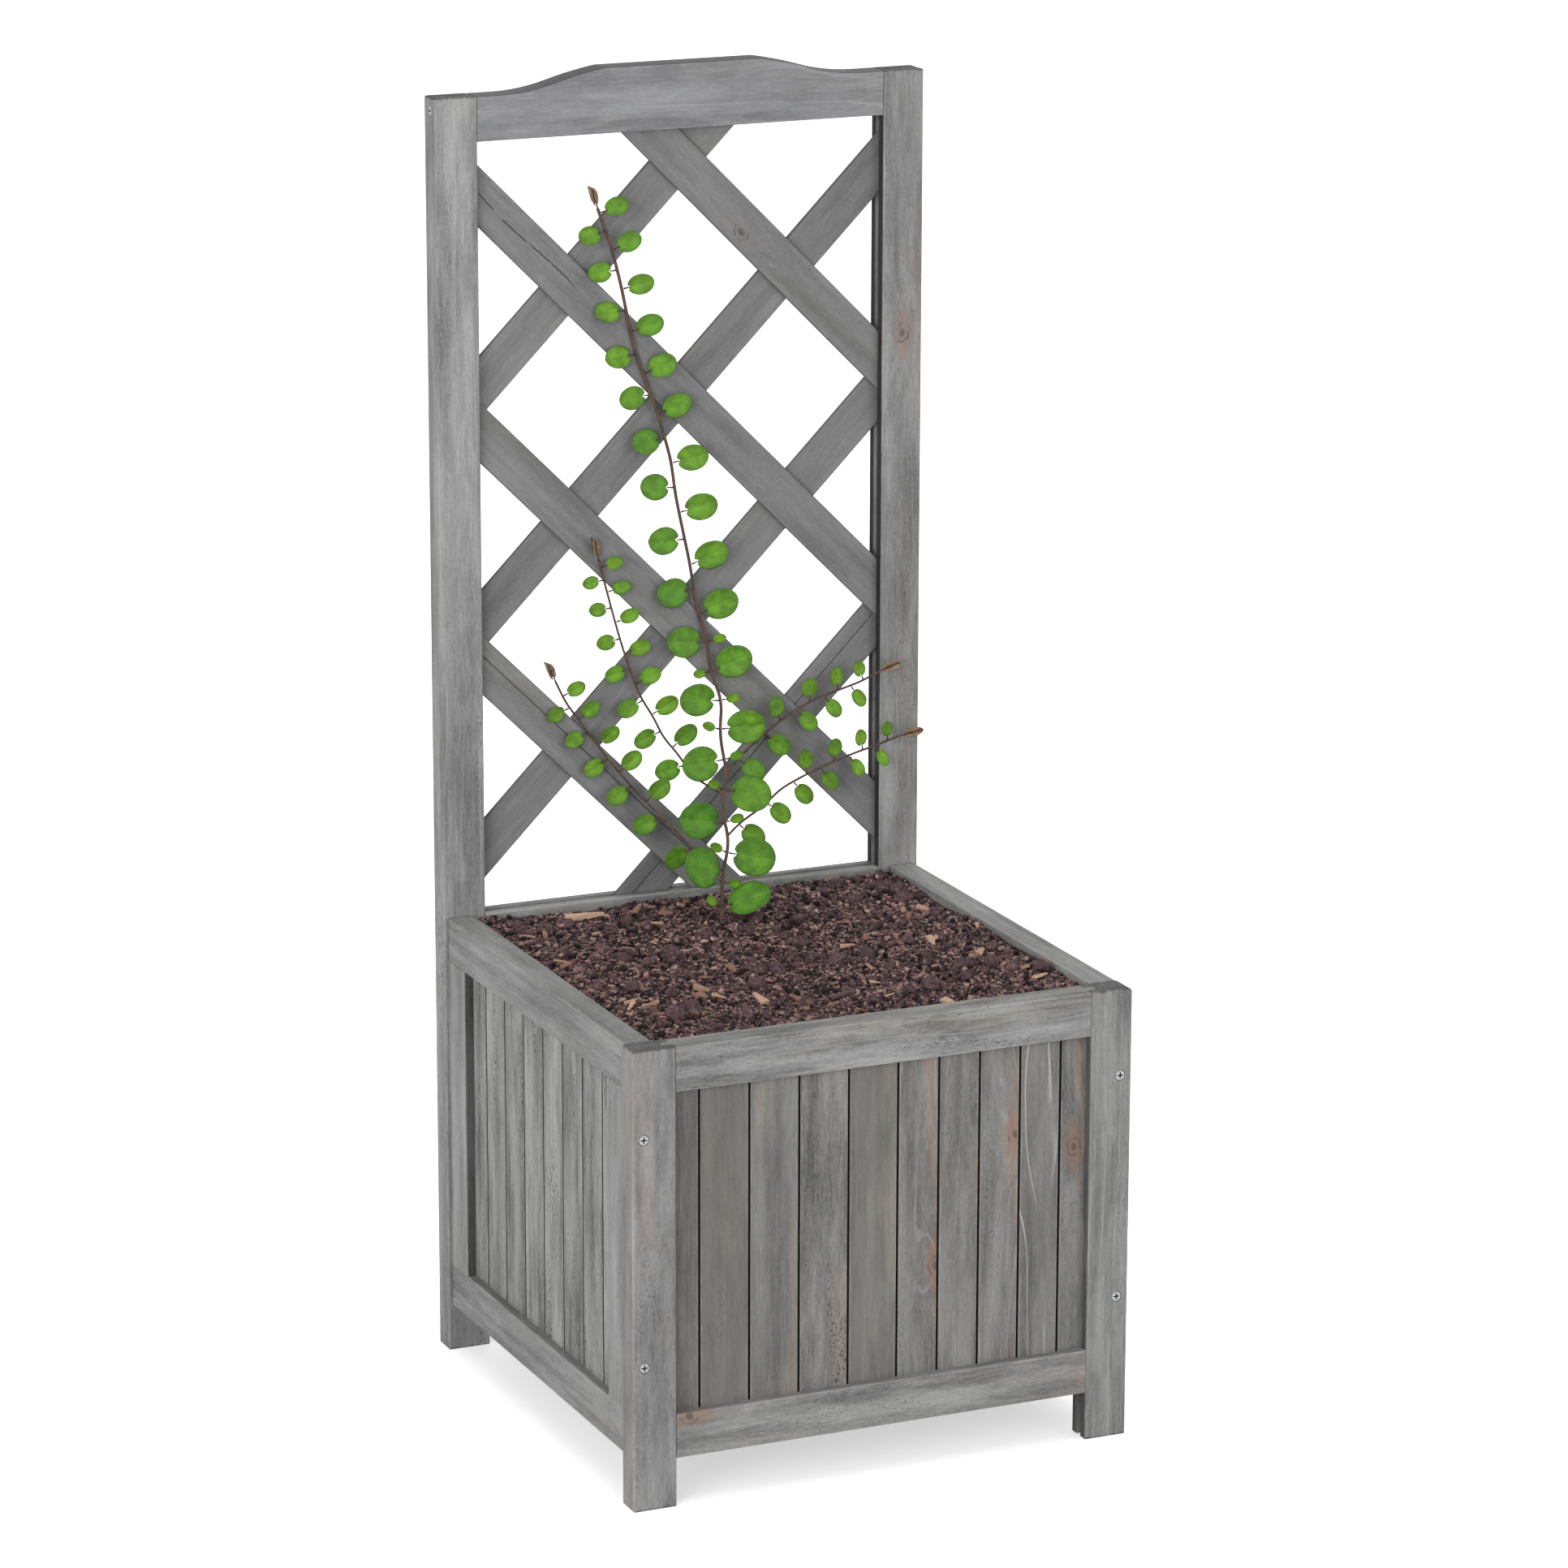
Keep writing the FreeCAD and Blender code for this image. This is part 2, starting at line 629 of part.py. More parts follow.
def stem_path(places, main_path):
    """Path of a stem: straight runs joined by tangent arcs. A branch starts on the main stem."""
    climb_share = (header_low - box_height - climber_top_gap) / main_stem[-1][2]
    points = []
    for x, y, z in places:
        rise = z * climb_share if z > 0 else z
        points.append(Vec(x, trellis_y + y, box_height + rise))
    if main_path is not None:
        points[0] = main_path.distToShape(Part.Vertex(points[0]))[1][0][0]
    edges = []
    here = points[0]
    for before, corner, after in zip(points, points[1:], points[2:]):
        back = before - corner
        ahead = after - corner
        reach = bend_share * min(back.Length, ahead.Length)
        turn = math.pi - back.getAngle(ahead)
        back.normalize()
        ahead.normalize()
        bend = reach / math.tan(turn / 2)
        start = corner + back * reach
        finish = corner + ahead * reach
        inward = (back + ahead).normalize()
        middle = corner + inward * (bend / math.cos(turn / 2) - bend)
        edges.append(Part.LineSegment(here, start).toShape())
        edges.append(Part.Arc(start, middle, finish).toShape())
        here = finish
    edges.append(Part.LineSegment(here, points[-1]).toShape())
    return Part.Wire(edges)


def tube(path, radius):
    first = path.OrderedVertexes[0].Point
    way = path.OrderedEdges[0].tangentAt(path.OrderedEdges[0].FirstParameter)
    ring = Part.Wire(Part.makeCircle(radius, first, way))
    return path.makePipeShell([ring], True, False)


def along(path, distance):
    """Place and direction at a distance along the path of a stem."""
    for edge in path.OrderedEdges:
        if distance <= edge.Length:
            at = edge.getParameterByLength(distance)
            return edge.valueAt(at), edge.tangentAt(at)
        distance -= edge.Length
    last = path.OrderedEdges[-1]
    return last.valueAt(last.LastParameter), last.tangentAt(last.LastParameter)


def leaf(size):
    """Round leaf with a notch where its stalk meets the blade. The stalk starts at the origin
    and runs along X, and the blade lies in the XY plane. Small leaves are slimmer."""
    start = petiole_length
    half = size / 2
    across = half * (slim_leaf + round_gain * size)
    rim = Part.Ellipse(Vec(start + half, 0, 0), half, across)
    opening = math.pi - math.radians(notch_angle)
    edge = Part.ArcOfEllipse(rim, -opening, opening)
    notch = Vec(start + size * notch_share, 0, 0)
    edges = [Part.LineSegment(notch, edge.StartPoint).toShape(), edge.toShape()]
    edges.append(Part.LineSegment(edge.EndPoint, notch).toShape())
    blade = Part.Face(Part.Wire(edges)).extrude(Vec(0, 0, leaf_thick))
    blade.translate(Vec(0, 0, -leaf_thick / 2))
    stalk = Part.makeCylinder(petiole_round, start + size * stalk_share, Vec(0, 0, 0), RIGHT)
    return blade.fuse(stalk)


def bud():
    """Pointed leaf bud, its stalk along X and its blade in the XY plane."""
    start = Vec(petiole_length, 0, 0)
    point = Vec(petiole_length + bud_length, 0, 0)
    middle = (start + point) * 0.5
    bulge = Vec(0, bud_width / 2, 0)
    edges = [Part.Arc(start, middle - bulge, point).toShape()]
    edges.append(Part.Arc(point, middle + bulge, start).toShape())
    blade = Part.Face(Part.Wire(edges)).extrude(Vec(0, 0, leaf_thick))
    blade.translate(Vec(0, 0, -leaf_thick / 2))
    stalk_length = petiole_length + bud_length * stalk_share
    return blade.fuse(Part.makeCylinder(petiole_round, stalk_length, Vec(0, 0, 0), RIGHT))


def beside_stem(place, way, out_way, radius):
    """Where a stalk that leans out_way starts, clear of the stem that runs along way."""
    lean = Vec(out_way).normalize().dot(way)
    off = (out_way - way * out_way.dot(way)).normalize()
    return place + off * (radius + leaf_gap + petiole_round * abs(lean))


def turned_leaf(piece, start, out_way, face_way):
    """Leaf or bud put with its stalk starting at a point along out_way, facing face_way."""
    out_way = Vec(out_way).normalize()
    up_way = (face_way - out_way * face_way.dot(out_way)).normalize()
    side_way = up_way.cross(out_way)
    matrix = FreeCAD.Matrix(
        out_way.x, side_way.x, up_way.x, start.x,
        out_way.y, side_way.y, up_way.y, start.y,
        out_way.z, side_way.z, up_way.z, start.z,
        0, 0, 0, 1)
    piece.Placement = FreeCAD.Placement(matrix)
    return piece


def has_room(piece, others):
    """Whether a leaf stands clear of the soil and of the stems and leaves near it."""
    box = piece.BoundBox
    if box.ZMin < soil_height(box.Center.x, box.Center.y) + leaf_gap:
        return False
    near = [other for other in others if other.BoundBox.intersect(box)]
    return all(piece.distToShape(other)[0] > leaf_gap / 2 for other in near)


def leaf_ways(place, way, side, size, draw):
    """Directions of a leaf's stalk and face: outwards to one side of the stem and to the light,
    tilted up where the soil is near. Leaves on the right lean further forward."""
    across = Vec(way.z + abs(way.y), 0, -way.x).normalize() * side
    upright = way.z > abs(way.x)
    forward = lean_ahead + (lean_side_change * side if upright else 0)
    out_way = across + way * draw.uniform(lean_along_least, lean_along_most)
    out_way = out_way + FORWARD * (forward + draw.uniform(-lean_spread, lean_spread))
    face_way = FORWARD + UP * draw.uniform(0.0, face_up_most) + way * draw.uniform(-face_twist, face_twist)
    near_soil = 1 - (place.z - soil_top) / size
    if near_soil > 0:
        out_way = out_way + FORWARD * soil_lean_ahead * (1 + side) + UP * soil_lean_up * near_soil
        face_way = face_way + UP * soil_face_up * near_soil
    return out_way, face_way


def leaves_along(path, radius, sizes, young, others, draw):
    """Leaves standing left and right of one stem in turn, each clear of all that is there."""
    first_size, last_size, first_at = sizes
    total = path.Length
    distance = first_at
    side = 1
    leaves = []
    while distance < total - tip_clear:
        size = first_size + (last_size - first_size) * distance / total
        place, way = along(path, distance)
        pair = [(side, size)]
        if distance < young * total:
            pair.append((-side, young_leaf))
        for hand, length in pair:
            out_way, face_way = leaf_ways(place, way, hand, length, draw)
            start = beside_stem(place, way, out_way, radius)
            piece = turned_leaf(leaf(length), start, out_way, face_way)
            if has_room(piece, others + leaves):
                leaves.append(piece)
        side = -side
        distance += leaf_step * size + draw.uniform(-step_spread, step_spread)
    tip, way = along(path, total)
    start = tip + way * (2 * leaf_gap)
    leaves.append(turned_leaf(bud(), start, way + FORWARD * bud_ahead, FORWARD + UP * bud_face_up))
    return leaves


def vine():
    """Stems and leaves of the climber."""
    draw = random.Random(grow_seed)
    main_path = stem_path(main_stem, None)
    paths = [main_path] + [stem_path(places, main_path) for places, _, _, _ in climber[1:]]
    radii = [stem_round] + [branch_round] * (len(paths) - 1)
    stems = [tube(path, radius) for path, radius in zip(paths, radii)]
    leaves = []
    for path, radius, (_, *sizes) in zip(paths, radii, climber):
        young = young_reach if path is main_path else 0.0
        leaves += leaves_along(path, radius, sizes, young, stems + leaves, draw)
    joined = stems[0].fuse(stems[1:])
    return {"vine_stems": joined, "vine_leaves": Part.makeCompound(leaves)}


def build():
    nodes = {}
    nodes.update(front_frame())
    nodes.update(side_panels())
    nodes.update(back_frame())
    nodes.update(floor())
    nodes.update(screws())
    nodes["soil"] = soil()
    nodes.update(vine())
    return nodes


os.makedirs("parts", exist_ok=True)
for node_name, node_shape in build().items():
    node_shape.exportStep("parts/%s.step" % node_name)
    print(node_name, len(node_shape.Solids), node_shape.isValid(), round(node_shape.Volume))
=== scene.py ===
"""Dressing of the planter with trellis: stained boards, screws, soil and the young climber."""
import math
import random

import bpy
from mathutils import Euler, Matrix, Vector


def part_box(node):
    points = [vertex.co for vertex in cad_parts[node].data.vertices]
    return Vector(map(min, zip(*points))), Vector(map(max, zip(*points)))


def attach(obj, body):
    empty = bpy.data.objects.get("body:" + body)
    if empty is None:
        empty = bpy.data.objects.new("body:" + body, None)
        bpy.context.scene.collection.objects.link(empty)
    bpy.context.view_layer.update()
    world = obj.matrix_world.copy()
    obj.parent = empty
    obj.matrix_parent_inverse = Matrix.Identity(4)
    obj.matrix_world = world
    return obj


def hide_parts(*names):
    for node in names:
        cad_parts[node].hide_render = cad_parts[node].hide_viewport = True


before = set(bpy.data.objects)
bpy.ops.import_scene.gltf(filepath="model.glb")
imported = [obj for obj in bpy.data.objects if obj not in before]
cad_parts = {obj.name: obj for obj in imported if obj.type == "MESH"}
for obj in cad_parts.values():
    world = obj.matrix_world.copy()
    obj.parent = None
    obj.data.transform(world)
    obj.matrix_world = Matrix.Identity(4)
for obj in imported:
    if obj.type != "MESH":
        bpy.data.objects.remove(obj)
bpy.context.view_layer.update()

mm = 0.001

# ---- Camera and studio, in metres ----
camera_place = Vector((-1.7984, -4.0287, 1.6602))
camera_yaw = math.radians(24.126)
camera_pitch = math.radians(14.996)
camera_roll = math.radians(0.148)
camera_lens = 140.355
sensor_width = 36.0
floor_size = 60.0

# Soft boxes: name, place, point aimed at, width, and power in watts.
lamps = (("front_soft_box", (-2.9, -2.3, 1.5), (0, 0, 0.45), 2.2, 70),
         ("side_soft_box", (1.7, -3.2, 1.3), (0, 0, 0.4), 2.0, 24),
         ("high_soft_box", (0.2, -0.8, 3.2), (0, 0, 0.4), 2.0, 14),
         ("back_soft_box", (1.8, 3.0, 1.9), (0, 0, 0.4), 2.2, 34))
horizon_light = 0.75        # strength of the sky at the horizon
overhead_light = 0.30       # and overhead
dim_floor_half = 0.175      # half width of the square under the planter where the floor's painted glow is least, so that the planter's shadow shows there
dim_floor_glow = 0.52
glow_rise = 0.075           # distance outside that square over which the glow becomes full


# ---- Handling of objects ----
def only(*objects):
    """Leaves object mode's selection holding just these objects, the last one active."""
    bpy.ops.object.select_all(action="DESELECT")
    for piece in objects:
        piece.select_set(True)
        bpy.context.view_layer.objects.active = piece


def added(name):
    """The object that the last primitive made, renamed, with its place put into its mesh."""
    piece = bpy.context.object
    piece.name = name
    bpy.ops.object.transform_apply(location=True, rotation=True, scale=True)
    return piece


def start_primitive():
    bpy.ops.object.select_all(action="DESELECT")


def select_points(piece, wanted):
    """In edit mode with points as the selection, selects the points that wanted(place) accepts."""
    bpy.ops.mesh.select_mode(type="VERT")
    bpy.ops.mesh.select_all(action="DESELECT")
    bpy.ops.object.mode_set(mode="OBJECT")
    for point in piece.data.vertices:
        point.select = wanted(point.co)
    bpy.ops.object.mode_set(mode="EDIT")


def apply_modifiers(piece):
    only(piece)
    for modifier in list(piece.modifiers):
        bpy.ops.object.modifier_apply(modifier=modifier.name)


def copy_of(piece, place):
    """A copy with its own mesh, put where the matrix says."""
    mesh = piece.data.copy()
    mesh.transform(place)
    copy = bpy.data.objects.new(piece.name, mesh)
    bpy.context.scene.collection.objects.link(copy)
    return copy


def joined(pieces, name):
    only(*pieces)
    bpy.ops.object.join()
    piece = bpy.context.object
    piece.name = name
    return piece


def set_material(piece, material):
    piece.data.materials.clear()
    piece.data.materials.append(material)

# ---- Handling of shader nodes ----
class Nodes:
    """Short hand for placing and linking the nodes of one material or group."""

    def __init__(self, tree):
        self.tree = tree

    def add(self, kind, inputs=None, **settings):
        node = self.tree.nodes.new(kind)
        for key, value in settings.items():
            setattr(node, key, value)
        self.fill(node, inputs or {})
        return node

    def fill(self, node, inputs):
        for key, value in inputs.items():
            self.give(node.inputs[key], value)

    def give(self, socket, value):
        if isinstance(value, bpy.types.NodeSocket):
            self.tree.links.new(value, socket)
        else:
            socket.default_value = value

    def math(self, operation, a, b=0.0):
        return self.add("ShaderNodeMath", {0: a, 1: b}, operation=operation).outputs[0]

    def times(self, a, b):
        return self.math("MULTIPLY", a, b)

    def larger(self, a, b):
        return self.math("MAXIMUM", a, b)

    def vector(self, operation, a, b=(0, 0, 0)):
        node = self.add("ShaderNodeVectorMath", {0: a, 1: b}, operation=operation)
        one_number = operation in ("LENGTH", "DISTANCE", "DOT_PRODUCT")
        return node.outputs["Value" if one_number else "Vector"]

    def parts(self, vector):
        node = self.add("ShaderNodeSeparateXYZ", {0: vector})
        return node.outputs[0], node.outputs[1], node.outputs[2]

    def step(self, value, low, high, start=0.0, end=1.0):
        """Smooth change from start to end as value goes from low to high."""
        node = self.add("ShaderNodeMapRange", {"Value": value, "From Min": low, "From Max": high,
                                               "To Min": start, "To Max": end},
                        interpolation_type="SMOOTHSTEP")
        return node.outputs[0]

    def noise(self, vector, scale, detail=3.0, rough=0.5):
        """Noise between 0 and 1 on a vector stretched by scale."""
        place = self.vector("MULTIPLY", vector, scale)
        node = self.add("ShaderNodeTexNoise", {"Vector": place, "Scale": 1.0, "Detail": detail,
                                               "Roughness": rough})
        return node.outputs[0]

    def noise_vector(self, vector, scale, amount):
        """Noise that moves a place by up to half the amount each way."""
        place = self.vector("MULTIPLY", vector, scale)
        node = self.add("ShaderNodeTexNoise", {"Vector": place, "Scale": 1.0, "Detail": 2.0})
        middled = self.vector("SUBTRACT", node.outputs[1], (0.5, 0.5, 0.5))
        return self.vector("MULTIPLY", middled, (amount, amount, amount))

    def scaled(self, colour, shade):
        """Colour made darker or lighter by a number."""
        node = self.add("ShaderNodeVectorMath", {0: colour, "Scale": shade}, operation="SCALE")
        return node.outputs[0]

    def sum(self, *terms):
        """Sum of (value, weight) pairs, and of plain numbers."""
        total = None
        for term in terms:
            part = self.times(*term) if isinstance(term, tuple) else term
            total = part if total is None else self.math("ADD", total, part)
        return total

    def mix(self, share, a, b):
        """Colour a where the share is 0, and colour b where it is 1."""
        node = self.add("ShaderNodeMix", data_type="RGBA")
        for index, value in ((0, share), (6, a), (7, b)):
            self.give(node.inputs[index], (*value, 1) if isinstance(value, tuple) else value)
        return node.outputs[2]

    def group(self, tree, inputs):
        return self.add("ShaderNodeGroup", inputs, node_tree=tree).outputs

    def object_place(self):
        return self.add("ShaderNodeTexCoord").outputs["Object"]

    def piece_tone(self):
        """The number that tone_points has stored on a piece."""
        return self.add("ShaderNodeAttribute", attribute_name="piece_tone").outputs["Fac"]

    def bump(self, shader, height, distance, strength):
        node = self.add("ShaderNodeBump", {"Height": height, "Distance": distance,
                                           "Strength": strength})
        self.give(shader.inputs["Normal"], node.outputs[0])


def shader_group(name, inputs, outputs):
    """New shader group: its Nodes, its input sockets and its output sockets. The inputs come with
    their default values, each a number or a vector, and the outputs are numbers."""
    tree = bpy.data.node_groups.new(name, "ShaderNodeTree")
    for label, value in inputs.items():
        kind = "NodeSocketVector" if isinstance(value, tuple) else "NodeSocketFloat"
        socket = tree.interface.new_socket(name=label, in_out="INPUT", socket_type=kind)
        socket.default_value = value
    for label in outputs:
        tree.interface.new_socket(name=label, in_out="OUTPUT", socket_type="NodeSocketFloat")
    nodes = Nodes(tree)
    into = nodes.add("NodeGroupInput")
    out = nodes.add("NodeGroupOutput")
    return nodes, into.outputs, out.inputs


def new_material(name):
    material = bpy.data.materials.new(name)
    material.use_nodes = True
    nodes = Nodes(material.node_tree)
    shader = material.node_tree.nodes["Principled BSDF"]
    return material, nodes, shader


# ---- Camera, light and floor ----
def add_camera():
    across = Vector((math.cos(camera_yaw), -math.sin(camera_yaw), 0.0))
    level = Vector((math.sin(camera_yaw), math.cos(camera_yaw), 0.0))
    ahead = level * math.cos(camera_pitch) - Vector((0, 0, 1)) * math.sin(camera_pitch)
    upward = across.cross(ahead)
    right = across * math.cos(camera_roll) + upward * math.sin(camera_roll)
    top = upward * math.cos(camera_roll) - across * math.sin(camera_roll)
    bpy.ops.object.camera_add()
    camera = bpy.context.object
    turn = Matrix((right, top, -ahead)).transposed().to_4x4()
    camera.matrix_world = Matrix.Translation(camera_place) @ turn
    camera.data.lens = camera_lens
    camera.data.sensor_width = sensor_width
    bpy.context.scene.camera = camera


def add_lamp(name, place, target, size, power):
    """Square soft box at place, facing target."""
    bpy.ops.object.light_add(type="AREA", location=place)
    lamp = bpy.context.object
    lamp.name = name
    lamp.data.size = size
    lamp.data.energy = power
    lamp.rotation_euler = (Vector(target) - Vector(place)).to_track_quat("-Z", "Y").to_euler()


def add_studio():
    start_primitive()
    for lamp in lamps:
        add_lamp(*lamp)
    world = bpy.data.worlds.new("studio")
    world.use_nodes = True
    bpy.context.scene.world = world
    nodes = Nodes(world.node_tree)
    surface = world.node_tree.nodes["Background"]
    way = nodes.add("ShaderNodeTexCoord").outputs["Generated"]
    rise = nodes.parts(way)[2]
    dome = nodes.step(rise, 0.0, 0.9, horizon_light, overhead_light)
    nodes.fill(surface, {"Color": (1, 1, 1, 1), "Strength": nodes.larger(dome, seen_rays(nodes))})
    start_primitive()
    bpy.ops.mesh.primitive_plane_add(size=floor_size)
    floor = added("studio_floor")
    set_material(floor, floor_material())


def seen_rays(nodes):
    """1 for rays from the camera and for what is seen mirrored or through a clear piece."""
    path = nodes.add("ShaderNodeLightPath").outputs
    seen = nodes.larger(path["Is Camera Ray"], path["Is Glossy Ray"])
    return nodes.larger(seen, path["Is Transmission Ray"])


def floor_material():
    """Pale floor with painted light: it glows for camera rays, fully away from the planter and less
    in a square under it, so that the camera sees it white except in the planter's shadow close by.
    """
    material, nodes, shader = new_material("studio_floor")
    from_middle = nodes.vector("ABSOLUTE", nodes.object_place())
    outside = nodes.vector("SUBTRACT", from_middle, (dim_floor_half, dim_floor_half, 0))
    away = nodes.vector("LENGTH", nodes.vector("MAXIMUM", outside))
    glow = nodes.step(away, 0.0, glow_rise, dim_floor_glow, 1.0)
    nodes.fill(shader, {"Base Color": (0.76, 0.76, 0.765, 1), "Roughness": 0.9,
                        "Specular IOR Level": 0.1, "Emission Color": (1, 1, 1, 1),
                        "Emission Strength": nodes.times(seen_rays(nodes), glow)})
    return material


# ---- Wood ----
# Linear colours of the stained softwood.
grey_stain = (0.268, 0.268, 0.267)
pale_stain = (0.300, 0.300, 0.303)
dim_stain = (0.240, 0.240, 0.237)
blue_grey_stain = (0.255, 0.257, 0.267)
dark_stain = (0.200, 0.201, 0.204)
slat_stain = (0.205, 0.203, 0.197)
olive_stain = (0.170, 0.167, 0.155)
panel_stain = (0.262, 0.262, 0.258)
raw_stain = (0.25, 0.245, 0.23)
olive_tint = (0.225, 0.215, 0.170)
pink_tint = (0.295, 0.225, 0.185)
worn_tint = (0.47, 0.46, 0.44)
tan_tint = (0.28, 0.25, 0.20)
knot_tint = (0.29, 0.18, 0.125)
deep_stain = (0.060, 0.045, 0.038)
# Near black of seams, cracks, pits and end grain, and of the painted shade on the boards' inner
# sides.
seam_and_shade_dark = (0.010, 0.010, 0.010)

# Kinds of grain: noise per metre along the board and both ways across it, detail and roughness.
grain_noises = {"Bands": ((2.0, 75, 75), 2.0), "Streaks": ((5, 230, 230), 4.0, 0.65),
                "Fibre": ((70, 1300, 1300), 3.0, 0.6), "Speckle": ((260, 480, 480), 4.0, 0.75),
                "Patches": ((6, 34, 34), 3.0, 0.5), "Mottle": ((9, 48, 48), 3.0, 0.65)}
# Noise values at which a kind is at its darkest and lightest, and how far it lightens the stain.
grain_tones = {"Bands": (0.30, 0.70, 0.26), "Streaks": (0.30, 0.70, 0.17),
               "Fibre": (0.28, 0.72, 0.24), "Speckle": (0.28, 0.72, 0.25),
               "Mottle": (0.30, 0.70, 0.50)}
grain_middle = 0.73         # what they add together on average

# Marks, as the distances in metres at which each begins and is full.
knot_pull = (0.022, 0.002)
knot_eye = (0.0034, 0.0014)
knot_ring_outside = (0.0064, 0.0052)
knot_ring_inside = (0.0042, 0.0052)
knot_glow_reach = (0.0100, 0.0040)
worn_edge = (0.0018, 0.0002)
dark_end = (0.0016, 0.0001)
slat_seam = (0.00095, 0.00045)
crack_width = (0.0006, 0.0002)
crack_start = (-0.11, -0.14)
painted_seam = (0.0009, 0.0005)
painted_seam_pitch = 38.9 * mm      # on the back panel, whose real gaps are 36.9 mm apart
far_away = 9.0                      # place of a knot or crack on a board that has none

box_middle = Vector((0, 0, (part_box("front_top_rail")[1].z) / 2))


def grain_group():
    """Softwood grain on a place in metres, X along the board and the board's middle at zero."""
    nodes, given, out = shader_group(
        "softwood_grain",
        {"Place": (0, 0, 0), "Seed": (0, 0, 0), "Pith": (0, 0.006, 0.05), "Knot": (9, 0, 0),
         "Line Gap": 0.006, "Wander": 0.03},
        ("Lines", "Bands", "Streaks", "Fibre", "Speckle", "Patches", "Mottle", "Pits", "Knot",
         "Knot Glow"))
    place = given["Place"]
    off = nodes.vector("SUBTRACT", place, given["Knot"])
    off = nodes.vector("ADD", off, nodes.noise_vector(place, (160, 160, 160), 0.004))
    round_knot = nodes.vector("LENGTH", nodes.vector("MULTIPLY", off, (0.75, 1.0, 1.0)))
    long_knot = nodes.vector("LENGTH", nodes.vector("MULTIPLY", off, (0.35, 1.0, 1.0)))
    pull = nodes.step(long_knot, *knot_pull)
    pulled = nodes.add("ShaderNodeCombineXYZ", {1: pull, 2: pull}).outputs[0]
    pulled = nodes.vector("MULTIPLY", pulled, (0.0, 0.006, 0.006))
    moved = nodes.vector("ADD", nodes.vector("ADD", place, pulled), given["Seed"])
    from_pith = nodes.vector("MULTIPLY", nodes.vector("SUBTRACT", place, given["Pith"]), (0, 1, 1))
    radius = nodes.vector("LENGTH", from_pith)
    wander = nodes.noise(moved, (2.6, 12, 12), 2.0)
    radius = nodes.sum(radius, (wander, given["Wander"]), (pull, 0.011))
    turn = nodes.math("FRACT", nodes.math("DIVIDE", radius, given["Line Gap"]))
    line = nodes.times(nodes.step(turn, 0.86, 0.95), nodes.step(turn, 0.95, 1.0, 1.0, 0.0))
    broken = nodes.step(nodes.noise(moved, (14, 60, 60), 2.0), 0.36, 0.60)
    nodes.give(out["Lines"], nodes.times(line, broken))
    for kind, noise in grain_noises.items():
        nodes.give(out[kind], nodes.noise(moved, *noise))
    pitted = nodes.step(nodes.noise(moved, (8, 55, 55), 1.0), 0.58, 0.70)
    holes = nodes.step(nodes.noise(moved, (330, 760, 760), 3.0, 0.6), 0.54, 0.68)
    nodes.give(out["Pits"], nodes.times(pitted, holes))
    eye = nodes.step(round_knot, *knot_eye)
    ring = nodes.times(nodes.step(round_knot, *knot_ring_outside),
                       nodes.step(round_knot, *knot_ring_inside))
    split = nodes.step(nodes.noise(moved, (90, 150, 150), 2.0), 0.42, 0.60)
    nodes.give(out["Knot"], nodes.larger(eye, nodes.times(ring, split)))
    nodes.give(out["Knot Glow"], nodes.step(long_knot, *knot_glow_reach))
    return nodes.tree


def edge_group():
    """Wear, seams, end grain and crack of a board with the given half sizes. Wide is the way
    across it, and Crack is how far the crack lies from its middle that way."""
    nodes, given, out = shader_group(
        "board_edges",
        {"Place": (0, 0, 0), "Half": (1, 1, 1), "Seed": (0, 0, 0), "Wide": (0, 0, 1),
         "Crack": far_away},
        ("Wear", "End", "Seam", "Across", "Crack"))
    gap = nodes.vector("SUBTRACT", given["Half"], nodes.vector("ABSOLUTE", given["Place"]))
    end, side, face = nodes.parts(gap)
    moved = nodes.vector("ADD", given["Place"], given["Seed"])
    rough = nodes.noise(moved, (70, 260, 260), 3.0, 0.6)
    ragged = nodes.times(nodes.math("SUBTRACT", rough, 0.5), 0.0045)
    near = nodes.sum(nodes.larger(side, face), ragged)
    nodes.give(out["Wear"], nodes.step(near, *worn_edge))
    nodes.give(out["End"], nodes.step(nodes.sum(end, ragged), *dark_end))
    to_seam = nodes.vector("DOT_PRODUCT", gap, given["Wide"])
    nodes.give(out["Seam"], nodes.step(nodes.sum(to_seam, (ragged, 0.12)), *slat_seam))
    width = nodes.vector("DOT_PRODUCT", given["Half"], given["Wide"])
    across = nodes.vector("DOT_PRODUCT", given["Place"], given["Wide"])
    nodes.give(out["Across"], nodes.math("DIVIDE", across, width))
    zigzag = nodes.math("SUBTRACT", nodes.noise(moved, (260, 0, 0), 3.0, 0.7), 0.5)
    drift = nodes.math("SUBTRACT", nodes.noise(moved, (9, 0, 0), 1.0), 0.5)
    line = nodes.sum(across, (given["Crack"], -1.0), (zigzag, 0.0035), (drift, 0.010))
    thin = nodes.step(nodes.math("ABSOLUTE", line), *crack_width)
    open_here = nodes.step(nodes.noise(moved, (60, 0, 0), 2.0), 0.38, 0.48)
    upper_end = nodes.step(nodes.parts(given["Place"])[0], *crack_start)
    nodes.give(out["Crack"], nodes.times(nodes.times(thin, open_here), upper_end))
    return nodes.tree


# Turn that lays each board along X, by the way it runs in the planter.
along_x = Euler((0, 0, 0))
along_y = Euler((0, 0, math.radians(-90)))
along_z = Euler((0, math.radians(90), 0))
falling_lath = Euler((0, math.radians(-45), 0))
rising_lath = Euler((0, math.radians(45), 0))


def board_turn(name):
    if name.startswith("lath_front"):
        return falling_lath
    if name.startswith("lath_back"):
        return rising_lath
    low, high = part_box(name)
    size = high - low
    longest = max(size)
    if longest == size.x and name != "back_slats":
        return along_x
    return along_y if longest == size.y else along_z


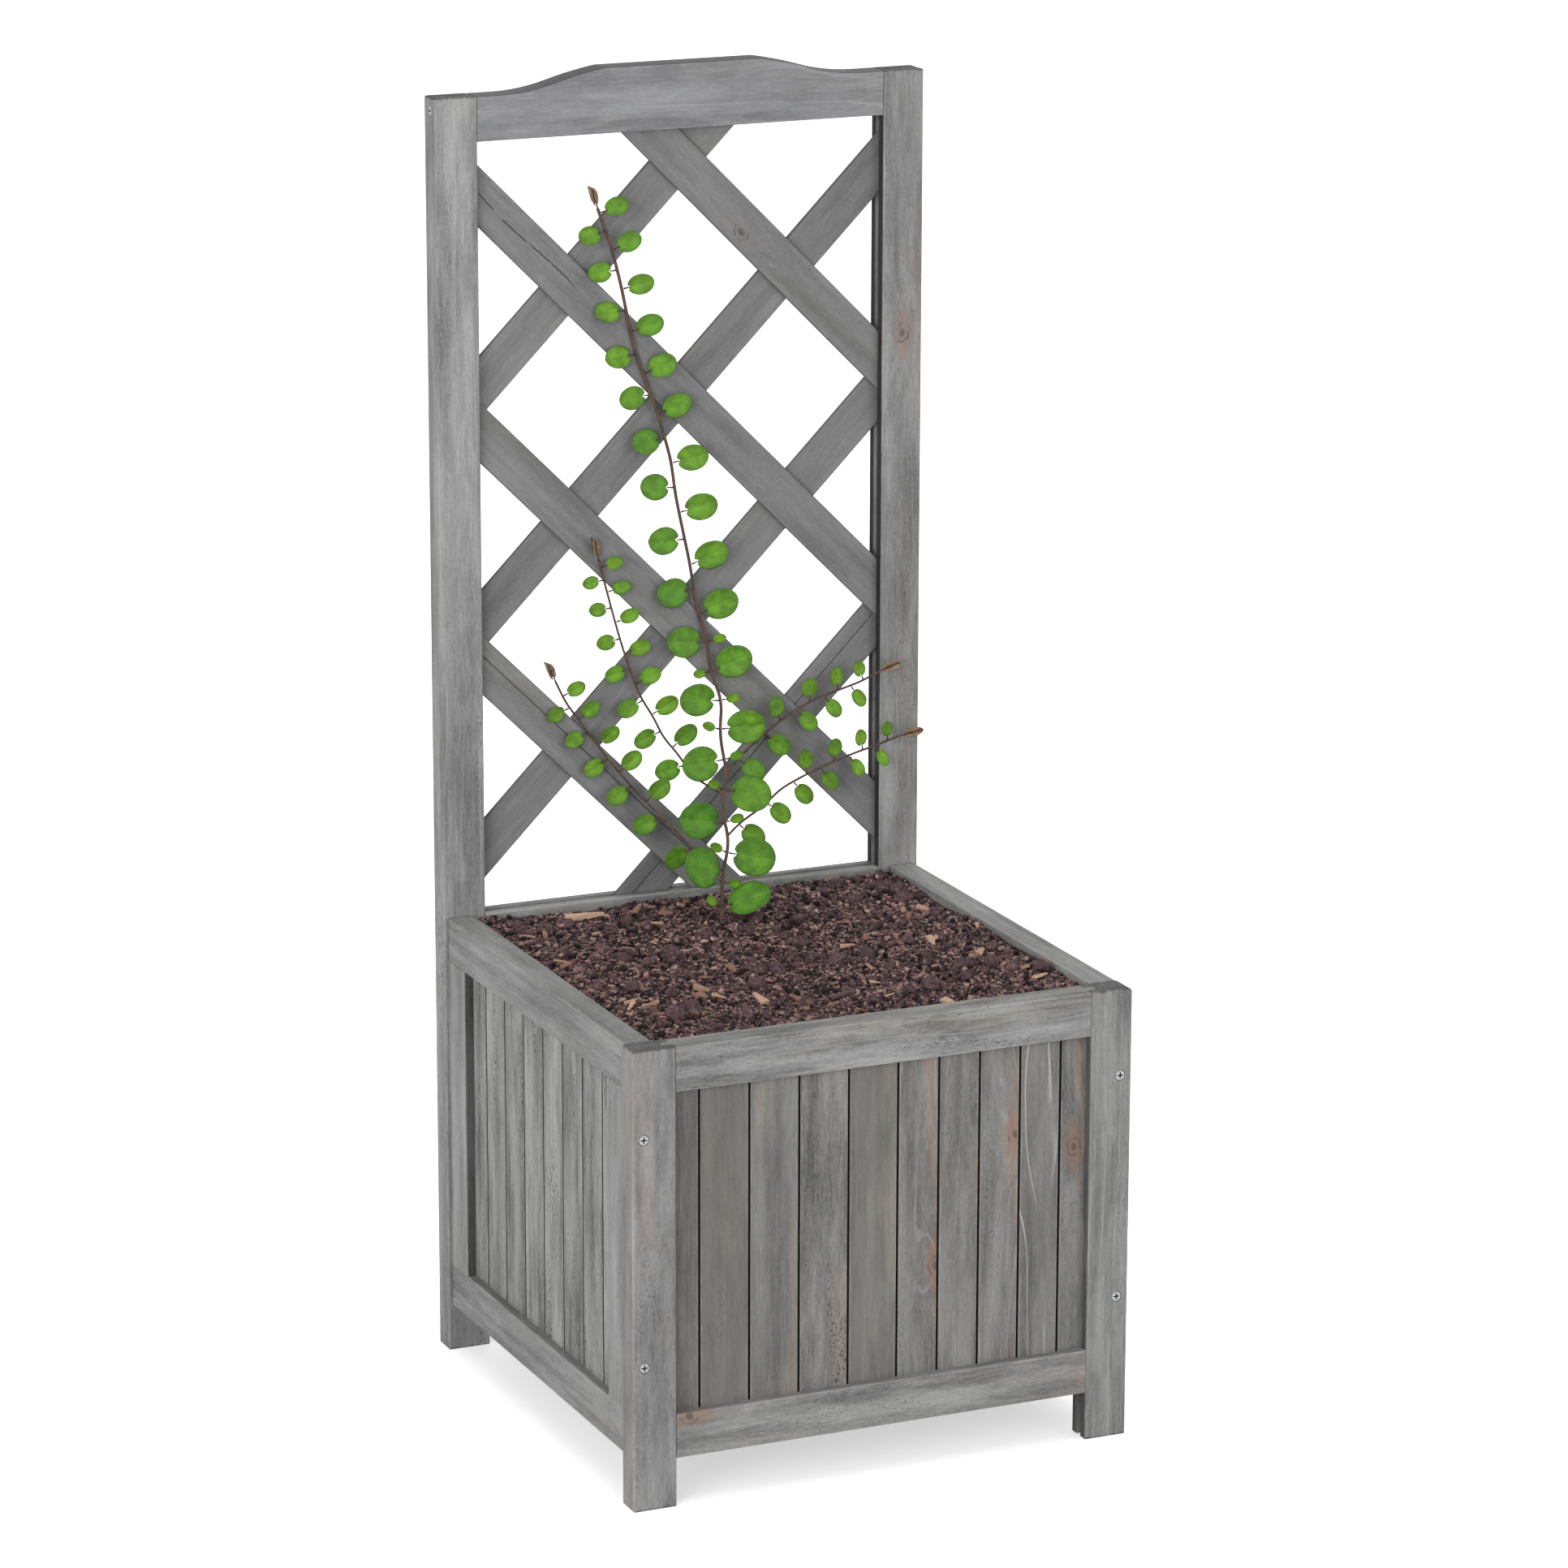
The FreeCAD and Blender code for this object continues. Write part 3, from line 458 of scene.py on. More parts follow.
def board_frame(name):
    """Turn of a board, with the middle and half size of its turned mesh."""
    turn = board_turn(name)
    matrix = turn.to_matrix()
    places = [matrix @ point.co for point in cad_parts[name].data.vertices]
    low = Vector([min(place[axis] for place in places) for axis in range(3)])
    high = Vector([max(place[axis] for place in places) for axis in range(3)])
    return turn, matrix, (low + high) / 2, (high - low) / 2


class Look:
    """What sets one board apart: its stain, the colour, share and side of its patches, its marks,
    and the painted shade on its inner side (inner_shade) and on its faces that point up
    (top_shade), most of them with a strength from 0 to 1. The knot is a place in the planter, crack
    a distance from the board's middle, line_gap the width of a year ring and seam_pitch the gap
    between painted seams, all in metres."""

    def __init__(self, tone, tint=olive_tint, tint_share=0.3, tint_side=0.0, lines=0.15, wear=0.35,
                 pits=0.4, seam=0.0, top_shade=0.0, knot=None, crack=far_away, line_gap=0.006,
                 inner_shade=0.0, grain=1.0, wander=0.03, knot_glow=0.62, seam_pitch=0.0):
        self.tone = tone
        self.tint = tint
        self.tint_share = tint_share
        self.tint_side = tint_side
        self.lines = lines
        self.wear = wear
        self.pits = pits
        self.seam = seam
        self.top_shade = top_shade
        self.knot = knot
        self.crack = crack
        self.line_gap = line_gap
        self.inner_shade = inner_shade
        self.grain = grain
        self.wander = wander
        self.knot_glow = knot_glow
        self.seam_pitch = seam_pitch


def painted_seams(nodes, where, pitch):
    """Dark lines across a panel whose slats share one node, one of them at its middle."""
    turn = nodes.math("DIVIDE", nodes.parts(where)[0], pitch)
    away = nodes.math("ABSOLUTE", nodes.math("SUBTRACT", turn, nodes.math("ROUND", turn)))
    return nodes.step(away, painted_seam[0] / pitch, painted_seam[1] / pitch)


def wood_material(name, look, draw):
    """Stained softwood for one board."""
    turn, matrix, middle, half = board_frame(name)
    material, nodes, shader = new_material("wood_" + name)
    where = nodes.object_place()
    place = nodes.add("ShaderNodeMapping", {"Vector": where, "Location": -middle,
                                            "Rotation": turn}).outputs[0]
    seed = Vector((draw.uniform(-5, 5), draw.uniform(-5, 5), draw.uniform(-5, 5)))
    angle = draw.uniform(0, 2 * math.pi)
    pith = Vector((0, math.cos(angle), math.sin(angle))) * draw.uniform(0.03, 0.06)
    wide = Vector((0, 1, 0)) if half.y > half.z else Vector((0, 0, 1))
    knot_place = Vector((far_away, far_away, far_away))
    if look.knot is not None:
        knot_place = matrix @ Vector(look.knot) - middle
    brightness = draw.uniform(0.94, 1.06)
    grain = nodes.group(wood_grain, {"Place": place, "Seed": seed, "Pith": pith,
                                     "Knot": knot_place, "Line Gap": look.line_gap,
                                     "Wander": look.wander})
    edge = nodes.group(board_edges, {"Place": place, "Half": half, "Seed": seed, "Wide": wide,
                                     "Crack": look.crack})

    # Stain with patches of another tint, light and dark grain, and pale lines, flecks and edges.
    lean = nodes.times(edge["Across"], 0.24 * look.tint_side)
    patch = nodes.step(nodes.sum(grain["Patches"], lean), 0.50, 0.68, 0.0, look.tint_share)
    colour = nodes.mix(patch, look.tone, look.tint)
    even = {kind: nodes.step(grain[kind], low, high)
            for kind, (low, high, _) in grain_tones.items()}
    band, streak, fibre, speckle, _ = even.values()
    grained = nodes.sum(*((even[kind], grain_tones[kind][2]) for kind in even))
    shade = nodes.sum((grained, look.grain), brightness - grain_middle * look.grain)
    colour = nodes.scaled(colour, shade)
    fleck = nodes.times(nodes.step(grain["Fibre"], 0.54, 0.76), streak)
    colour = nodes.mix(nodes.times(fleck, 0.36 * look.grain), colour, worn_tint)
    colour = nodes.mix(nodes.times(grain["Lines"], look.lines), colour, worn_tint)
    worn = nodes.times(edge["Wear"], nodes.step(grain["Streaks"], 0.3, 0.65, 0.2, 1.0))
    colour = nodes.mix(nodes.times(worn, look.wear), colour, worn_tint)
    if look.knot is not None:
        colour = nodes.mix(nodes.times(grain["Knot Glow"], look.knot_glow), colour, knot_tint)
        colour = nodes.mix(nodes.times(grain["Knot"], 0.60), colour, deep_stain)
    # Painted shade: faces that point up are darkened, by up to top_shade of their colour.
    if look.top_shade > 0:
        up = nodes.parts(nodes.add("ShaderNodeNewGeometry").outputs["Normal"])[2]
        colour = nodes.scaled(colour, nodes.step(up, 0.35, 0.85, 1.0, 1.0 - look.top_shade))

    # Dark end grain, seams, crack and pits, which are also hollow and dull, and painted shade on
    # the side that faces into the planter.
    dark = nodes.larger(nodes.times(edge["End"], 0.5), nodes.times(edge["Seam"], look.seam))
    dark = nodes.larger(dark, nodes.times(edge["Crack"], 0.8))
    if look.seam_pitch > 0:
        dark = nodes.larger(dark, painted_seams(nodes, where, look.seam_pitch))
    # Painted shade: the side of the board that faces the middle of the planter darkens towards near
    # black, by inner_shade.
    if look.inner_shade > 0:
        inner_side = (matrix @ box_middle - middle).dot(wide)
        inner = nodes.times(edge["Across"], math.copysign(1.0, inner_side))
        dark = nodes.larger(dark, nodes.step(inner, 0.955, 0.99, 0.0, look.inner_shade))
    dark = nodes.larger(dark, nodes.times(grain["Pits"], look.pits))
    nodes.fill(shader, {"Base Color": nodes.mix(dark, colour, seam_and_shade_dark),
                        "Roughness": nodes.sum((fibre, 0.12), (band, 0.08), 0.68),
                        "Specular IOR Level": nodes.step(dark, 0.0, 0.8, 0.3, 0.04)})
    height = nodes.sum((fibre, 0.16), (speckle, 0.10), (streak, 0.22), (grain["Lines"], 0.25),
                       (dark, -1.0))
    nodes.bump(shader, height, 0.0006, 0.8)
    return material


# Front slats from left to right, with knots and other marks where the boards have them.
front_slat_looks = [
    Look(olive_stain, olive_tint, 0.25, grain=0.8),
    Look(olive_stain, olive_tint, 0.35, tint_side=0.5, lines=0.05, grain=0.6),
    Look(slat_stain, tan_tint, 0.60, tint_side=-0.7, grain=0.8),
    Look(slat_stain, pink_tint, 0.30, tint_side=-0.4, lines=0.10, pits=0.9, grain=1.3),
    Look(olive_stain, tan_tint, 0.65, tint_side=-0.8, lines=0.05, grain=0.7),
    Look(slat_stain, pink_tint, 0.60, tint_side=-0.8, lines=0.30, line_gap=0.012,
         knot=(0.044, -0.1893, 0.153)),
    Look(slat_stain, pink_tint, 0.20, lines=0.25, line_gap=0.011, knot=(0.083, -0.1893, 0.222)),
    Look(slat_stain, pink_tint, 0.65, tint_side=-0.6, lines=0.25, line_gap=0.013,
         knot=(0.108, -0.1893, 0.246)),
    Look(slat_stain, olive_tint, 0.10, lines=0.95, line_gap=0.013, wander=0.12, grain=0.8),
    Look(slat_stain, pink_tint, 0.50, tint_side=-0.8, lines=0.10, knot=(0.157, -0.1893, 0.230))]

# Boards with marks of their own.
marked_boards = {
    "right_trellis_post": Look(grey_stain, pink_tint, 0.30, tint_side=-0.5, lines=0.30,
                               line_gap=0.009, inner_shade=0.88, top_shade=0.4, knot_glow=0.45,
                               knot=(0.183, 0.1755, 0.776)),
    "left_trellis_post": Look(pale_stain, olive_tint, 0.25, lines=0.40, line_gap=0.011, pits=0.6,
                              inner_shade=0.6, top_shade=0.4),
    "front_right_post": Look(dim_stain, tan_tint, 0.35, lines=0.55, line_gap=0.012,
                             inner_shade=0.6),
    "front_left_post": Look(grey_stain, pink_tint, 0.35, tint_side=0.5, inner_shade=0.6),
    "back_slats": Look(raw_stain, tan_tint, 0.4, lines=0.3, seam_pitch=painted_seam_pitch),
    "front_top_rail": Look(grey_stain, tan_tint, 0.45, tint_side=0.3, lines=0.35, wear=0.7,
                           pits=0.5, grain=1.25, inner_shade=0.15),
    "front_bottom_rail": Look(dim_stain, pink_tint, 0.45, lines=0.25, grain=1.2, inner_shade=0.15,
                              knot=(-0.156, -0.1965, 0.068)),
    "lath_front_1": Look(dark_stain, olive_tint, 0.15, lines=0.05, wear=0.2, pits=0.3, seam=0.4,
                         grain=0.6, knot_glow=0.12, knot=(0.0508, 0.1827, 0.8625)),
    "lath_front_2": Look(dark_stain, olive_tint, 0.15, lines=0.05, wear=0.2, pits=0.3, seam=0.4,
                         grain=0.6, crack=0.002)}


def board_look(name):
    if name in marked_boards:
        return marked_boards[name]
    if name.startswith("front_slat"):
        return front_slat_looks[int(name[-2:]) - 1]
    if name.startswith("lath"):
        return Look(dark_stain, olive_tint, 0.2, lines=0.08, wear=0.2, pits=0.2, seam=0.4,
                    grain=0.6)
    if name == "trellis_header":
        return Look(blue_grey_stain, olive_tint, 0.15, lines=0.30, wear=0.3, pits=0.05,
                    top_shade=0.62, grain=0.7)
    if name in ("floor_boards", "floor_cleats"):
        return Look(raw_stain, tan_tint, 0.5, lines=0.3)
    if "slat" in name:
        return Look(panel_stain, olive_tint, 0.20, lines=0.1, wear=0.7, pits=1.0, seam=1.0,
                    grain=1.5)
    if "stile" in name:
        return Look(grey_stain, olive_tint, 0.3, wear=0.5, pits=0.5, inner_shade=0.65)
    return Look(grey_stain, olive_tint, 0.25, wear=0.5, pits=0.3, inner_shade=0.15)


def dress_boards():
    """Gives every board its own stained wood."""
    draw = random.Random(11)
    wooden = ("slat", "lath", "post", "rail", "stile", "header", "floor")
    for name in sorted(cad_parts):
        if name.endswith("screws") or not any(word in name for word in wooden):
            continue
        look = board_look(name)
        if name.startswith("front_slat"):
            look.seam = 1.0
            look.wear = 0.5
        set_material(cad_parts[name], wood_material(name, look, draw))


# ---- Screws ----
zinc = (0.40, 0.42, 0.42)
spotted_zinc = (0.20, 0.19, 0.18)
# Near black of the painted shade in the screws' cross recess.
recess_shade_colour = (0.008, 0.008, 0.008)
recess_depth = (0.0001, 0.0005)     # where the painted shade in the cross recess begins and is full


def screw_material(name, axis, face):
    """Dull zinc plate, with painted shade, near black, in the cross recess. Face is how far out the
    heads lie.
    """
    material, nodes, shader = new_material("zinc_" + name)
    where = nodes.object_place()
    depth = nodes.math("SUBTRACT", face, nodes.math("ABSOLUTE", nodes.parts(where)[axis]))
    recess_shade = nodes.step(depth, *recess_depth)
    stain = nodes.noise(where, (900, 900, 900))
    spots = nodes.step(stain, 0.5, 0.72, 0.0, 0.5)
    colour = nodes.mix(spots, zinc, spotted_zinc)
    nodes.fill(shader, {"Base Color": nodes.mix(recess_shade, colour, recess_shade_colour),
                        "Metallic": nodes.step(recess_shade, 0.2, 0.8, 0.85, 0.0),
                        "Roughness": nodes.step(stain, 0.3, 0.7, 0.28, 0.5)})
    nodes.bump(shader, stain, 0.0001, 0.4)
    return material


def dress_screws():
    for name, axis in (("panel_screws", 1), ("header_screws", 0), ("cleat_screws", 0)):
        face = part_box(name)[1][axis]
        set_material(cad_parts[name], screw_material(name, axis, face))


# ---- Soil ----
soil_cells = 260            # of the bed's grid, each way
soil_gap = 0.4 * mm         # between the bed and the boards round it
soil_floor_gap = 0.3 * mm
# Lumps pressed into the bed: kind of noise, its size and the strength in metres.
soil_reliefs = (("VORONOI", 0.012, 3.0 * mm), ("CLOUDS", 0.004, 3.2 * mm),
                ("CLOUDS", 0.0016, 2.2 * mm))
# Pieces strewn on the soil: how many, smallest and largest size, how far their middle lies above
# the soil as a share of the size, and how steep they lie at most, in radians.
strewn_pieces = {"soil_clods": (95, (7 * mm, 17 * mm), 0.14, 0.5),
                 "soil_crumbs": (2600, (2.2 * mm, 7 * mm), 0.22, 0.5),
                 "bark_splinters": (110, (4.5 * mm, 14 * mm), 0.22, 0.4),
                 "straws": (420, (3.5 * mm, 11 * mm), 0.12, 0.35),
                 "bark_twigs": (7, (24 * mm, 38 * mm), 0.05, 0.08)}
heap_size = 150             # copies joined at a time, as joining all at once is slow
any_turn = 6.3              # radians, a full turn
long_splinter_length = 30 * mm
long_splinter_place = (-97 * mm, 143 * mm)
long_splinter_lift = 3.2 * mm
long_splinter_turn = Euler((math.radians(12), math.radians(-4), math.radians(-12)))
# Linear colours of soil and bark.
soil_dark = (0.011, 0.006, 0.007)
soil_mid = (0.150, 0.080, 0.086)
soil_pale = (0.54, 0.33, 0.29)
clod_brown = (0.160, 0.098, 0.108)
splinter_tones = ((0.66, 0.42, 0.29), (0.30, 0.16, 0.11))      # palest and darkest
straw_tones = ((0.58, 0.37, 0.28), (0.20, 0.11, 0.09))
twig_tones = ((0.16, 0.095, 0.085), (0.07, 0.04, 0.04))


def tone_points(piece, tone):
    """Stores one number on all points of a piece, so that its material can tell copies apart."""
    attribute = piece.data.attributes.new("piece_tone", "FLOAT", "POINT")
    attribute.data.foreach_set("value", [tone] * len(piece.data.vertices))


def soil_edges():
    """Inner faces of the box round the soil: left, right, front and back."""
    return (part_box("left_top_rail")[1].x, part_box("right_top_rail")[0].x,
            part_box("front_top_rail")[1].y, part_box("trellis_mid_rail")[0].y)


def displace(piece, kind, size, strength):
    texture = bpy.data.textures.new("soil_" + kind.lower(), kind)
    texture.noise_scale = size
    modifier = piece.modifiers.new("lumps", "DISPLACE")
    modifier.texture = texture
    modifier.direction = "Z"
    modifier.strength = strength


def soil_bed():
    """Crumbled surface of the soil, settled onto the solid model's soil and pressed into lumps;
    close_soil closes it down to the floor boards.
    """
    left, right, front, back = soil_edges()
    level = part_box("soil")[1].z
    start_primitive()
    bpy.ops.mesh.primitive_grid_add(x_subdivisions=soil_cells, y_subdivisions=soil_cells, size=1.0,
                                    location=((left + right) / 2, (front + back) / 2, level))
    bed = bpy.context.object
    bed.scale = (right - left - 2 * soil_gap, back - front - 2 * soil_gap, 1.0)
    bed = added("soil_bed")
    settle = bed.modifiers.new("settle", "SHRINKWRAP")
    settle.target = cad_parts["soil"]
    settle.wrap_method = "PROJECT"
    settle.use_project_z = True
    settle.use_negative_direction = True
    for relief in soil_reliefs:
        displace(bed, *relief)
    apply_modifiers(bed)
    return bed


def close_soil(bed):
    """Extrudes the rim of the bed straight down and closes it on the floor boards."""
    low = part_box("floor_boards")[1].z + soil_floor_gap
    drop = -100 * mm        # any drop does, as the rim is flattened to the floor's height after it
    only(bed)
    bpy.ops.object.mode_set(mode="EDIT")
    bpy.ops.mesh.select_mode(type="EDGE")
    bpy.ops.mesh.select_all(action="DESELECT")
    bpy.ops.mesh.select_non_manifold()
    bpy.ops.mesh.extrude_region_move(TRANSFORM_OT_translate={"value": (0, 0, drop)})
    bpy.ops.transform.resize(value=(1, 1, 0), center_override=(0, 0, low))
    bpy.ops.mesh.edge_face_add()
    bpy.ops.object.mode_set(mode="OBJECT")
    bpy.ops.object.shade_smooth()


def heights(bed):
    """Looks up the height of the soil at a place, from the bed's grid of points."""
    points = [point.co.copy() for point in bed.data.vertices]
    row = soil_cells + 1
    corner = points[0]
    far = points[row * row - 1]

    def height(x, y):
        across = round((x - corner.x) / (far.x - corner.x) * soil_cells)
        deep = round((y - corner.y) / (far.y - corner.y) * soil_cells)
        return points[deep * row + across].z
    return height


def lump(name, cuts, seed):
    """Clod or crumb one metre across: a ball knocked out of round and flattened."""
    start_primitive()
    bpy.ops.mesh.primitive_ico_sphere_add(subdivisions=cuts, radius=0.5)
    piece = added(name)
    only(piece)
    bpy.ops.object.mode_set(mode="EDIT")
    bpy.ops.mesh.select_all(action="SELECT")
    bpy.ops.transform.vertex_random(offset=0.16, seed=seed, normal=0.6)
    bpy.ops.transform.resize(value=(1.0, 0.8, 0.74), center_override=(0, 0, 0))
    bpy.ops.object.mode_set(mode="OBJECT")
    if cuts > 1:
        bpy.ops.object.shade_smooth()
    return piece


def splinter(name, seed, width, thickness):
    """Splinter of bark one metre long: a slab split unevenly at both ends."""
    start_primitive()
    bpy.ops.mesh.primitive_cube_add(size=1.0)
    piece = bpy.context.object
    piece.scale = (1.0, width, thickness)
    piece = added(name)
    only(piece)
    bpy.ops.object.mode_set(mode="EDIT")
    select_points(piece, lambda place: place.x > 0)
    bpy.ops.transform.resize(value=(1, 0.45, 0.5), center_override=(0.5, 0.04, 0))
    bpy.ops.mesh.select_mode(type="EDGE")
    bpy.ops.mesh.select_all(action="SELECT")
    bpy.ops.mesh.subdivide(number_cuts=1)
    bpy.ops.transform.vertex_random(offset=0.05, seed=seed)
    bpy.ops.object.mode_set(mode="OBJECT")
    return piece


def strewn(name, masters, height, draw):
    """Copies of the masters lying about on the soil, joined in heaps and then as one piece."""
    count, sizes, lift, slope = strewn_pieces[name]
    left, right, front, back = soil_edges()
    heaps = []
    copies = []
    for number in range(count):
        size = sizes[0] + (sizes[1] - sizes[0]) * draw.random() ** 2
        margin = size * 0.55 + 1.5 * mm
        x = draw.uniform(left + margin, right - margin)
        y = draw.uniform(front + margin, back - margin)
        turn = Euler((draw.uniform(-slope, slope), draw.uniform(-slope, slope),
                      draw.uniform(0, any_turn)))
        place = Matrix.Translation((x, y, height(x, y) + size * lift))
        place = place @ turn.to_matrix().to_4x4() @ Matrix.Diagonal((size, size, size, 1))
        copy = copy_of(draw.choice(masters), place)
        tone_points(copy, draw.random())
        copies.append(copy)
        if len(copies) == heap_size or number == count - 1:
            heaps.append(joined(copies, name))
            copies = []
    piece = joined(heaps, name)
    for master in masters:
        bpy.data.objects.remove(master)
    return piece


def soil_material(name, loose_share, brown_share):
    """Dark moist compost with pinkish dry crumbs. Loose share says how far a piece keeps to one
    tone of its own, and brown share how far it has the plain brown of a clod."""
    material, nodes, shader = new_material(name)
    where = nodes.object_place()
    bent = nodes.vector("ADD", where, nodes.noise_vector(where, (500, 500, 500), 0.003))
    crumbs = nodes.noise(where, (420, 420, 420), 5.0, 0.75)
    lumps = nodes.noise(where, (60, 60, 60), 3.0)
    cells = nodes.add("ShaderNodeTexVoronoi", {"Vector": bent, "Scale": 430.0, "Randomness": 1.0})
    cell_tone = nodes.parts(cells.outputs["Color"])[0]
    tone = nodes.sum((nodes.piece_tone(), loose_share), (cell_tone, 1.0 - loose_share))
    colour = nodes.mix(nodes.step(tone, 0.34, 0.56), soil_dark, soil_mid)
    colour = nodes.mix(nodes.step(tone, 0.71, 0.88), colour, soil_pale)
    colour = nodes.mix(brown_share, colour, clod_brown)
    colour = nodes.scaled(colour, nodes.step(crumbs, 0.30, 0.70, 0.55, 1.45))
    colour = nodes.scaled(colour, nodes.step(lumps, 0.3, 0.7, 0.8, 1.2))
    nodes.fill(shader, {"Base Color": colour, "Specular IOR Level": 0.3,
                        "Roughness": nodes.step(crumbs, 0.3, 0.7, 0.70, 0.92)})
    height = nodes.sum((crumbs, 1.0), (cells.outputs["Distance"], -0.6))
    nodes.bump(shader, height, 0.0016, 1.0)
    return material


def chip_material(name, pale, dark):
    """Torn wood of the splinters, straws and twigs, lighter or darker from piece to piece."""
    material, nodes, shader = new_material(name)
    fibre = nodes.noise(nodes.object_place(), (900, 900, 900), 3.0, 0.7)
    colour = nodes.mix(nodes.step(nodes.piece_tone(), 0.15, 0.85), dark, pale)
    colour = nodes.scaled(colour, nodes.step(fibre, 0.3, 0.7, 0.65, 1.15))
    nodes.fill(shader, {"Base Color": colour, "Roughness": nodes.step(fibre, 0.3, 0.7, 0.7, 0.9)})
    nodes.bump(shader, fibre, 0.0004, 0.7)
    return material


def long_splinter(height):
    """The one large pale splinter near the rear left corner."""
    piece = splinter("long_splinter", 12, 0.26, 0.14)
    x, y = long_splinter_place
    piece.data.transform(long_splinter_turn.to_matrix().to_4x4()
                         @ Matrix.Scale(long_splinter_length, 4))
    piece.data.transform(Matrix.Translation((x, y, height(x, y) + long_splinter_lift)))
    tone_points(piece, 1.0)
    return piece


def dress_soil():
    draw = random.Random(23)
    bed = soil_bed()
    height = heights(bed)
    close_soil(bed)
    clods = strewn("soil_clods", [lump("clod", 3, seed) for seed in (1, 2, 3)], height, draw)
    crumbs = strewn("soil_crumbs", [lump("crumb", 1, seed) for seed in (4, 5, 6)], height, draw)
    chips = [splinter("chip", 7, 0.5, 0.2), splinter("chip", 8, 0.3, 0.2)]
    chips = strewn("bark_splinters", chips, height, draw)
    chips = joined([chips, long_splinter(height)], "bark_splinters")
    straws = strewn("straws", [splinter("straw", 9, 0.13, 0.1)], height, draw)
    twigs = [splinter("twig", seed, 0.12, 0.1) for seed in (10, 11)]
    twigs = strewn("bark_twigs", twigs, height, draw)
    set_material(bed, soil_material("potting_soil", 0.0, 0.0))
    set_material(crumbs, soil_material("soil_crumbs", 0.75, 0.0))
    set_material(clods, soil_material("soil_clods", 0.25, 0.75))
    set_material(chips, chip_material("bark_splinters", *splinter_tones))
    set_material(straws, chip_material("straws", *straw_tones))
    set_material(twigs, chip_material("bark_twigs", *twig_tones))
    for piece in (bed, clods, crumbs, chips, straws, twigs):
        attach(piece, "root")
    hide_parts("soil")


# ---- Climber ----
stalk_length = 3.0 * mm      # bare stalk between a stem and its leaf
stalk_width = 1.02 * mm      # a little over the thickness of the solid model's stalks
leaf_sheet = 0.35 * mm       # thickness of a blade
large_leaf = 30 * mm         # length of a blade that counts as fully grown
bud_slimness = 0.5           # a blade narrower than this share of its length is a folded bud
blade_folds = (0.02, 0.045)  # depth of the middle fold, as a share of the length
bud_fold = 0.35
rim_points = 28
ring_insets = (0.07, 0.11, 0.12, 0.1)
# Linear colours of the climber.
young_leaf = (0.200, 0.400, 0.025)
old_leaf = (0.075, 0.235, 0.018)
leaf_vein = (0.30, 0.46, 0.10)
bark_tones = ((0.036, 0.017, 0.012), (0.11, 0.050, 0.030))      # dark and red
bud_tones = ((0.19, 0.10, 0.075), (0.27, 0.21, 0.11))


def leaf_parts():
    """The leaves of the solid model one by one: where the stalk starts, which way it runs, which
    way the blade faces, and its length and width."""
    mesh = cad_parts["vine_leaves"].data.copy()
    whole = bpy.data.objects.new("leaf_guides", mesh)
    bpy.context.scene.collection.objects.link(whole)
    only(whole)
    bpy.ops.object.mode_set(mode="EDIT")
    bpy.ops.mesh.select_all(action="SELECT")
    bpy.ops.mesh.remove_doubles(threshold=0.00001)
    bpy.ops.mesh.separate(type="LOOSE")
    bpy.ops.object.mode_set(mode="OBJECT")
    found = []
    for guide in list(bpy.context.selected_objects):
        places = [point.co.copy() for point in guide.data.vertices]
        faces = guide.data.polygons
        middle = sum((face.center * face.area for face in faces), Vector())
        middle = middle / sum(face.area for face in faces)
        far = max(places, key=lambda place: (place - middle).length)
        ring = [place for place in places if (place - far).length < stalk_width]
        start = sum(ring, Vector()) / len(ring)
        facing = max(faces, key=lambda face: face.area).normal
        facing = facing if facing.y < 0 else -facing
        ahead = middle - start
        ahead = (ahead - facing * ahead.dot(facing)).normalized()
        across = facing.cross(ahead)
        reach = max((place - start).dot(ahead) for place in places)
        spread = [(place - start).dot(across) for place in places]
        length = reach - stalk_length
        width = max(spread) - min(spread)
        found.append((start, ahead, across, facing, length, width))
        bpy.data.objects.remove(guide)
    return sorted(found, key=lambda leaf: (round(leaf[0].z, 5), round(leaf[0].x, 5)))


def leaf_blade(name, fold):
    """Blade one metre long and wide from the stalk at the origin along X: a rim of points, inset
    rings, a notch at the stalk, a dished face and a fold along the middle vein."""
    start_primitive()
    bpy.ops.mesh.primitive_circle_add(vertices=rim_points, radius=0.5, fill_type="NGON",
                                      location=(0.5, 0, 0))
    piece = added(name)
    only(piece)
    bpy.ops.object.mode_set(mode="EDIT")
    bpy.ops.mesh.select_mode(type="FACE")
    bpy.ops.mesh.select_all(action="SELECT")
    for width in ring_insets:
        bpy.ops.mesh.inset(thickness=width)
    bpy.ops.mesh.poke()
    select_points(piece, lambda place: place.x < 0.02 and abs(place.y) < 0.03)
    bpy.ops.transform.translate(value=(0.12, 0, 0), use_proportional_edit=True,
                                proportional_size=0.16, proportional_edit_falloff="SHARP")
    select_points(piece, lambda place: (place.x - 0.5) ** 2 + place.y ** 2 < 0.01)
    bpy.ops.transform.translate(value=(0, 0, -0.06), use_proportional_edit=True,
                                proportional_size=0.5, proportional_edit_falloff="SMOOTH")
    select_points(piece, lambda place: abs(place.y) < 0.012)
    bpy.ops.transform.translate(value=(0, 0, -fold), use_proportional_edit=True,
                                proportional_size=0.16, proportional_edit_falloff="SHARP")
    select_points(piece, lambda place: place.x > 0.93)
    bpy.ops.transform.translate(value=(0, 0, -0.05), use_proportional_edit=True,
                                proportional_size=0.35, proportional_edit_falloff="SMOOTH")
    bpy.ops.object.mode_set(mode="OBJECT")
    lay_out(piece)
    return piece


def lay_out(piece):
    """UV map of a flat blade: along the stalk and across, both from 0 to 1."""
    layer = piece.data.uv_layers.new(name="blade")
    for loop in piece.data.loops:
        place = piece.data.vertices[loop.vertex_index].co
        layer.data[loop.index].uv = (place.x, place.y + 0.5)


